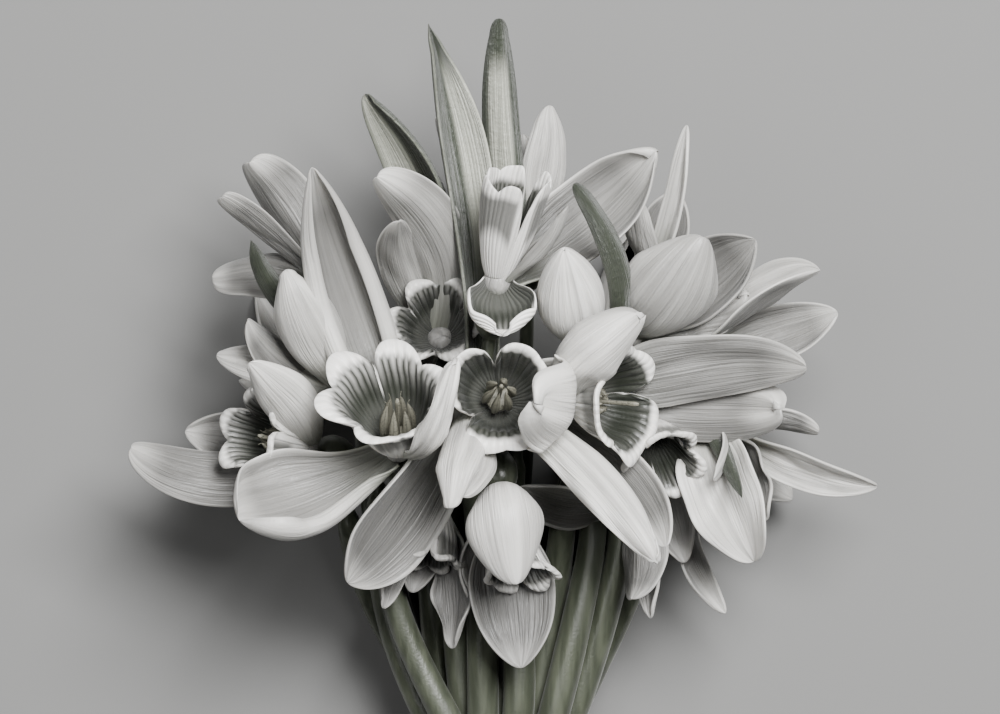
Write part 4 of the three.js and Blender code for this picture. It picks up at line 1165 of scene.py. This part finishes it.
        (tepal(34, 30.4, 30, 12, curve=-0.6, keel=-0.2, wave=0.12, waves=3, dents=0.35, shade=0.9,
            bend=(0, 0, 3)),
         tepal(36.4, 35.7, 20, 10, wave=0.15, waves=3, shade=0.75),
         tepal(29.9, 22.9, 22, 6, shade=0.7, wave=0.25, twist=100, bend=(-2, 0, -2))),
        blade=Blade(0.8, (0, 0, -1), green(32.3, 38.9, 38, 2.8, curve=1.2))),
    "right_tips": Flower(
        (31, 48, 15), (0.9, -0.3, 0.1),
        (tepal(51.1, 39.9, 20, 6.5, curve=-0.6, keel=-0.3, shade=0.8, dents=0.25),
         tepal(43.6, 47.7, 13, 4.5, curve=-0.5, shade=0.75, point=0.35, claw=0.5),
         tepal(40, 38, 6, 8, shade=0.7))),
    "back_left": Flower(
        (-18, 51, 10), (-0.6, 0.75, -0.3),
        (tepal(-34, 66, -0.3, 11),
         tepal(-20, 74, -0.4, 11),
         tepal(-36, 54, 10, 9))),
    "back_right": Flower(
        (15, 54, 11), (0.6, 0.75, -0.3),
        (tepal(34, 66, -0.3, 11),
         tepal(18, 76, -0.4, 11),
         tepal(36, 54, 10, 9))),
}


# ---- stems ----
@dataclass
class Stems:
    """The stems' places in the bundle and their curves up to the flowers, as in the part's source.

    squeeze is how far the bundle follows the flowers' places, across and up. rising is the share of the way
    to the flower that the curve's first handle takes, in each direction, and arriving the share that its last
    one takes, and its most. rounds is how often the stems make room for each other: room is what they need
    between them, and push, push_ovary and levelling are the steps that they take. taper is the length over
    which a stem thickens below its pedicel.
    """

    flowers: dict[str, Flower]
    squeeze: tuple[float, float] = (0.45, 0.6)
    rising: Vec = (0.12, 0.4, 0.08)
    arriving: tuple[float, float] = (0.3, 11.0)
    rounds: int = 200
    room: float = GAP + 0.3
    push: float = 0.25
    push_ovary: float = 0.5
    levelling: float = 0.05
    taper: float = 30.0
    sides: int = 28
    curves: np.ndarray = field(init=False)

    def __post_init__(self) -> None:
        """Works out every stem's curve."""
        places = self.places()
        self.curves = np.stack([self.free_curve(places[k], f) for k, f in enumerate(self.flowers.values())])
        self.settle()

    def bundle(self) -> np.ndarray:
        """The places of the stems across the bundle, row by row, as x and z."""
        middle = (len(BUNDLE_ROWS) - 1) / 2
        return np.array([((k - (count - 1) / 2) * PITCH, BUNDLE_Z + (row - middle) * ROW_RISE)
                         for row, count in enumerate(BUNDLE_ROWS) for k in range(count)])

    def places(self) -> np.ndarray:
        """Gives each flower a place: two swap as long as that brings them nearer to their wishes.

        Returns:
            The flowers' places in the bundle.
        """
        bases = np.array([f.base for f in self.flowers.values()], float)
        wishes = (bases[:, (0, 2)] - (0, HEADS_Z)) * self.squeeze + (0, BUNDLE_Z)
        places = self.bundle()

        def cost(i: int, j: int) -> float:
            """How far a flower's wish is from a place."""
            return float(((wishes[i] - places[j]) ** 2).sum())

        better = True
        while better:
            better = False
            for a in range(len(places)):
                for b in range(a + 1, len(places)):
                    if cost(a, b) + cost(b, a) < cost(a, a) + cost(b, b) - 1e-6:
                        places[[a, b]] = places[[b, a]]
                        better = True
        return places

    def free_curve(self, place: np.ndarray, flower: Flower) -> np.ndarray:
        """One cubic curve from the bundle to the back of the ovary, arriving along the flower's axis.

        Args:
            place: where the stem lies across the bundle.
            flower: the flower that it carries.

        Returns:
            The curve's points.
        """
        along = unit(np.array(flower.axis, float))
        start = np.array((place[0], FAN_Y, place[1]))
        end = np.array(flower.base, float) - along * (RECEPTACLE_RADIUS + GAP + 0.1 + OVARY_LENGTH)
        reach = float(np.linalg.norm(end - start))
        sway = flower.base[0] * (FAN_LEFT if flower.base[0] < 0 else FAN_RIGHT)
        rising = start + (end - start) * self.rising + (sway, 0, 0)
        share, most = self.arriving
        arriving = end - along * min(share * reach, most) + (FAN_OUT * flower.base[0], 0, 0)
        t = np.linspace(0, 1, STEM_STEPS + 1)[:, None]
        ends = (1 - t) ** 3 * start + t ** 3 * end
        return ends + 3 * (1 - t) ** 2 * t * rising + 3 * (1 - t) * t ** 2 * arriving

    @staticmethod
    def distances_back(curves: np.ndarray) -> np.ndarray:
        """The distance back from a curve's end, at each of its points.

        Args:
            curves: one curve or several.

        Returns:
            The distances.
        """
        steps = np.linalg.norm(np.diff(curves, axis=-2), axis=-1)
        back = np.cumsum(steps[..., ::-1], -1)[..., ::-1]
        return np.concatenate([back, np.zeros_like(back[..., :1])], -1)

    def radius(self, back: np.ndarray) -> np.ndarray:
        """A stem's radius: thin pedicel, then the scape, thickening downwards.

        Args:
            back: distances back from the stem's upper end.

        Returns:
            The radius at each.
        """
        down = ramp(back, PEDICEL_LENGTH, PEDICEL_LENGTH + self.taper)
        scape = STEM_TOP_RADIUS + (STEM_DIAMETER / 2 - STEM_TOP_RADIUS) * down
        return np.where(back < PEDICEL_LENGTH, PEDICEL_RADIUS, scape)

    def settle(self) -> None:
        """Stems that lie too close lean away from each other, step by step, with both ends held."""
        curves = self.curves
        count, steps = curves.shape[:2]
        axes = unit(np.array([f.axis for f in self.flowers.values()], float))
        into_ovary = np.array((0.2, 0.6, 1.0)) * OVARY_LENGTH
        ovaries = curves[:, -1:, :] + axes[:, None] * into_ovary[None, :, None]
        own = np.repeat(np.arange(count), steps)
        other = own[:, None] != own[None, :]
        foreign = own[:, None] != np.repeat(np.arange(count), ovaries.shape[1])[None, :]
        held = np.minimum(1, 4 * np.sin(np.pi * np.arange(steps) / (steps - 1)))[None, :, None]
        for _ in range(self.rounds):
            flat = curves.reshape(-1, 3)
            radii = self.radius(self.distances_back(curves)).ravel()
            moves = pushed(flat, flat, radii, radii + self.room, other) * self.push
            away = pushed(flat, ovaries.reshape(-1, 3), radii, OVARY_RADIUS + self.room, foreign)
            moves += away * self.push_ovary
            level = np.zeros_like(curves)
            level[:, 1:-1] = (curves[:, :-2] + curves[:, 2:]) / 2 - curves[:, 1:-1]
            change = (moves.reshape(curves.shape) + self.levelling * level) * held
            change[:, (0, -1)] = 0
            curves = curves + change
        self.curves = curves

    def skin(self, k: int, flower: Flower) -> Skin:
        """One stem with its pedicel and ovary, and its cut end, as one skin.

        The path is the settled curve made smooth and carried straight back through the bundle. The ovary's
        radius follows a short egg profile, and the cut end turns in to a shallow hollow.

        Args:
            k: which stem.
            flower: the flower that it carries.

        Returns:
            The closed skin; inside is 1 on the cut face.
        """
        curve = smooth_path(self.curves[k], 4)
        along = unit(np.array(flower.axis, float))
        back = self.distances_back(curve)
        swell = ease((back - PEDICEL_LENGTH + 1.2) / 2.4)
        thin = PEDICEL_RADIUS * (1 - swell) + self.radius(np.maximum(back, PEDICEL_LENGTH)) * swell
        egg_step = np.array((0.06, 0.14, 0.25, 0.36, 0.48, 0.6, 0.72, 0.84, 0.94, 1.0))
        egg = OVARY_RADIUS * np.array((0.48, 0.66, 0.82, 0.93, 0.985, 1.0, 0.97, 0.86, 0.7, 0.5))
        hollow = np.array((0.7, 0.55, 0.15, 0, 0.12))
        hollow_radii = STEM_DIAMETER / 2 * np.array((0.25, 0.5, 0.78, 0.9, 1.0))
        end_y = CUT_END_Y - CUT_END_SPREAD * ((k * 0.618) % 1)
        low = np.linspace(end_y, curve[0][1] - 1.0, 46)
        y = np.concatenate([end_y + hollow, low[1:]])
        straight = np.stack([np.full(len(y), curve[0][0]), y, np.full(len(y), curve[0][2])], 1)
        path = np.concatenate([straight, curve, curve[-1] + along * (egg_step * OVARY_LENGTH)[:, None]])
        radii = np.concatenate([hollow_radii, np.full(len(low) - 1, STEM_DIAMETER / 2), thin, egg])
        ribs = 1 + 0.012 * np.cos(7 * np.linspace(0, 2 * np.pi, self.sides, endpoint=False))
        skin = tube(path, radii, self.sides, ribs)
        skin.inside[:self.sides * (len(hollow) - 1)] = 1
        skin.inside[-2] = 1
        return skin

    def blade(self, k: int, blade: Blade) -> Skin:
        """The green blade of one stem."""
        base = self.curves[k][round(blade.start * STEM_STEPS)]
        return blade.shape.skin(tuple(base), blade.facing)


def pushed(points: np.ndarray, others: np.ndarray, radii: np.ndarray, rooms: np.ndarray | float,
           counts: np.ndarray) -> np.ndarray:
    """How far each point is pushed by the others that it lies too close to.

    Each push is along the line between the two, and as long as what they lack of their two radii and the gap.

    Args:
        points: the points that may move.
        others: the points that push.
        radii: the points' own radii.
        rooms: the radii of the others, with the gap.
        counts: which pairs count.

    Returns:
        The sum of the pushes on each point.
    """
    apart = points[:, None] - others[None]
    distance = np.linalg.norm(apart, axis=-1)
    lack = np.where(counts, radii[:, None] + np.broadcast_to(rooms, (len(others),))[None] - distance, 0)
    return (apart * (np.maximum(lack, 0) / np.maximum(distance, 1e-9))[..., None]).sum(1)


def smooth_path(points: np.ndarray, finer: int) -> np.ndarray:
    """A finer path near the points: they are joined by straight steps and levelled, with both ends kept.

    Args:
        points: the coarse path.
        finer: how many steps take the place of one.

    Returns:
        The finer path.
    """
    place = np.linspace(0, len(points) - 1, (len(points) - 1) * finer + 1)
    path = np.stack([np.interp(place, np.arange(len(points)), points[:, k]) for k in range(3)], 1)
    for _ in range(5 * finer):
        path[1:-1] += 0.5 * ((path[:-2] + path[2:]) / 2 - path[1:-1])
    return path


# ---- tie ----
@dataclass
class Tie:
    """Turned twine round the bundle: three plies that lie in each other, four turns and a small knot.

    lay is the length of twine in which a ply turns once, pitch the step from one turn of the winding to the
    next, and tails how long the two ends are.
    """

    places: np.ndarray
    plies: int = 3
    ply_radius: float = 0.62
    ply_sides: int = 10
    lay: float = 7.0
    pitch: float = 1.56 * TWINE_RADIUS
    knot_radius: float = 2.6
    tails: tuple[float, float] = (-15.0, 12.0)

    def loop(self) -> np.ndarray:
        """The twine's way round the bundle: against the stem that reaches furthest in each direction.

        Returns:
            The way's points, evenly apart.
        """
        angle = np.linspace(0, 2 * np.pi, 361)
        way = np.stack([np.cos(angle), np.sin(angle)], 1)
        far = self.places[(way @ self.places.T).argmax(1)]
        line = far + way * (STEM_DIAMETER / 2 + GAP + TWINE_RADIUS)
        run = run_of(line)
        even = np.linspace(0, run[-1], 241)
        return np.stack([np.interp(even, run, line[:, k]) for k in range(2)], 1)

    def strands(self, path: np.ndarray) -> list[Skin]:
        """The plies of one length of twine: each turns round its path, a full turn in each lay.

        Args:
            path: the twine's middle line.

        Returns:
            One closed skin for each ply.
        """
        tangent = unit(np.gradient(path, axis=0))
        side = carried(tangent)
        other = np.cross(tangent, side)
        radii = np.full(len(path), self.ply_radius)
        radii[[0, -1]] *= 0.6
        turns = [2 * np.pi * (run_of(path) / self.lay + k / self.plies) for k in range(self.plies)]
        off = TWINE_RADIUS - self.ply_radius
        return [tube(path + off * spoke(turn, side, other), radii, self.ply_sides) for turn in turns]

    def skins(self) -> list[Skin]:
        """The turns as one winding, a knot on the upper side and its two ends.

        The winding goes round in a helix and a quarter turn more, the knot is a little more than one turn,
        and each end is an arch that drops to the bundle.

        Returns:
            The closed skins.
        """
        loop = self.loop()[:-1]
        turns = np.concatenate([loop] * TWINE_TURNS + [loop[:len(loop) // 4 + 1]])
        y = (np.linspace(0, TWINE_TURNS, len(turns)) - TWINE_TURNS / 2) * self.pitch
        winding = np.stack([turns[:, 0], y, np.maximum(turns[:, 1], TWINE_RADIUS)], 1)
        top = float(self.places[:, 1].max()) + STEM_DIAMETER / 2 + GAP + 2.6 * TWINE_RADIUS
        t = np.linspace(0, 1, 70)
        turn = 2 * np.pi * 1.15 * t
        knot = np.stack([self.knot_radius * np.cos(turn) * (1 - 0.35 * t), 2.4 * np.sin(turn),
                         top + 0.9 * np.sin(2 * turn + 0.6)], 1)
        reach = np.linspace(0, 1, 50)
        arch = top + 0.8 + 1.6 * np.sin(np.pi * np.minimum(reach * 1.5, 1)) - 3.6 * reach ** 2
        tails = [np.stack([math.copysign(1, long) + 0.75 * long * reach,
                           1.5 * math.copysign(1, long) * np.sin(3 * reach) - 4.5 * reach, arch], 1)
                 for long in self.tails]
        return sum((self.strands(path) for path in (winding, knot, *tails)), [])


# ---- the whole ----
@dataclass
class Bunch:
    """The whole bunch: every flower's pieces, the stems and the tie."""

    flowers: dict[str, Flower]

    def build(self) -> None:
        """Builds and dresses every piece."""
        white, lined = TepalFinish().material(), CupFinish().material()
        skin, olive, straw = StemFinish().material(), AntherFinish().material(), TwineFinish().material()
        blades = {kind: SpatheFinish(f"blade_{kind.name.lower()}", *kind.value).material() for kind in Kind}
        stems = Stems(self.flowers)
        for k, (name, flower) in enumerate(self.flowers.items()):
            place = flower.base, flower.axis
            build(f"stem_of_{name}", [stems.skin(k, flower)], skin, "green", f"stem_{name}")
            if flower.blade:
                build(f"blade_of_{name}", [stems.blade(k, flower.blade)], blades[flower.blade.kind], "green",
                      f"stem_{name}")
            outer = [t.skin(*place) for t in flower.outer if not t.lined]
            outer += flower.bud.skins(*place) if flower.bud else []
            build(f"tepals_of_{name}", outer + [self.receptacle(flower)], white, "tepal", f"bloom_{name}")
            inner = [t.skin(*place) for t in flower.outer if t.lined]
            inner += flower.cup.skins(*place) if flower.cup else []
            if inner:
                build(f"cup_of_{name}", inner, lined, "tepal", f"bloom_{name}")
            if flower.stamens:
                build(f"anthers_of_{name}", flower.stamens.skins(*place), olive, "anther", f"stamens_{name}")
        build("twine", Tie(stems.bundle()).skins(), straw, "twine", "tie")

    @staticmethod
    def receptacle(flower: Flower) -> Skin:
        """The small knob that the tepals spring from: an egg round the base, with painted shade, darker
        inside a shaded cup.

        Args:
            flower: the flower.

        Returns:
            The closed skin.
        """
        step = np.linspace(-1, 1, 14)
        along = unit(np.array(flower.axis, float))
        path = np.array(flower.base, float) + step[:, None] * RECEPTACLE_RADIUS * along
        # painted shade: the knob is drawn darker, by its cup's painted shade twice over
        shade = 0.8 * (flower.cup.shade ** 2 if flower.cup else 1)
        return tube(path, RECEPTACLE_RADIUS * np.sqrt(1 - step ** 2 * 0.8), 18, shade=shade)


@dataclass(frozen=True)
class Stage:
    """The floor, the soft lights and the camera, in metres.

    frame_width is how much the picture shows across at picture_plane, the distance from the camera.
    """

    floor_size: float = 6.0
    floor_colour: Colour = (120, 120, 119)
    camera_place: Vec = (0.0, 0.05773, 0.938)
    frame_width: float = 0.13333
    picture_plane: float = 0.9
    sensor: float = 36.0
    aim: Vec = (0.0, 0.05, 0.03)
    surroundings: float = 0.04

    def floor(self) -> None:
        """The plain pale floor."""
        h = self.floor_size / 2
        mesh = bpy.data.meshes.new("floor")
        mesh.from_pydata([(-h, -h, 0), (h, -h, 0), (h, h, 0), (-h, h, 0)], [], [(0, 1, 2, 3)])
        mesh.materials.append(Graph("floor_pale").finish(self.floor_colour, 0.8, specular=0.2))
        self.stand(bpy.data.objects.new("floor", mesh), (0, 0, 0))

    def light(self, name: str, place: Vec, size: float, power: float) -> None:
        """One soft square light that looks at the heads.

        Args:
            name: its name.
            place: where it hangs.
            size: its side.
            power: its power in watts.
        """
        data = bpy.data.lights.new(name, "AREA")
        data.size, data.energy = size, power
        lamp = self.stand(bpy.data.objects.new(name, data), place)
        lamp.rotation_euler = (Vector(place) - Vector(self.aim)).to_track_quat("Z", "Y").to_euler()

    @staticmethod
    def stand(thing: bpy.types.Object, place: Vec) -> bpy.types.Object:
        """Puts a thing in the scene.

        Args:
            thing: the object.
            place: where it stands.

        Returns:
            The same object.
        """
        thing.location = place
        bpy.context.scene.collection.objects.link(thing)
        return thing

    def build(self) -> None:
        """Makes the floor, lights, surroundings and camera."""
        self.floor()
        self.light("key", (0.18, 0.3, 0.67), 0.32, 16.0)
        self.light("front", (-0.3, 0.0, 0.7), 0.4, 1.4)
        world = bpy.data.worlds.new("studio")
        world.use_nodes = True
        background = world.node_tree.nodes["Background"]
        background.inputs["Color"].default_value = (1, 1, 1, 1)
        background.inputs["Strength"].default_value = self.surroundings
        bpy.context.scene.world = world
        data = bpy.data.cameras.new("camera")
        data.sensor_width, data.lens = self.sensor, self.sensor * self.picture_plane / self.frame_width
        data.clip_start, data.clip_end = 0.01, 10
        bpy.context.scene.camera = self.stand(bpy.data.objects.new("camera", data), self.camera_place)


def write_sizes() -> None:
    """Brings the view layer up to date."""
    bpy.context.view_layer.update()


def main() -> None:
    """Builds the bunch and its stage."""
    logging.basicConfig(level=logging.INFO, format="%(name)s: %(message)s")
    Bunch(FLOWERS).build()
    Stage().build()
    write_sizes()


if __name__ == "__main__":
    main()
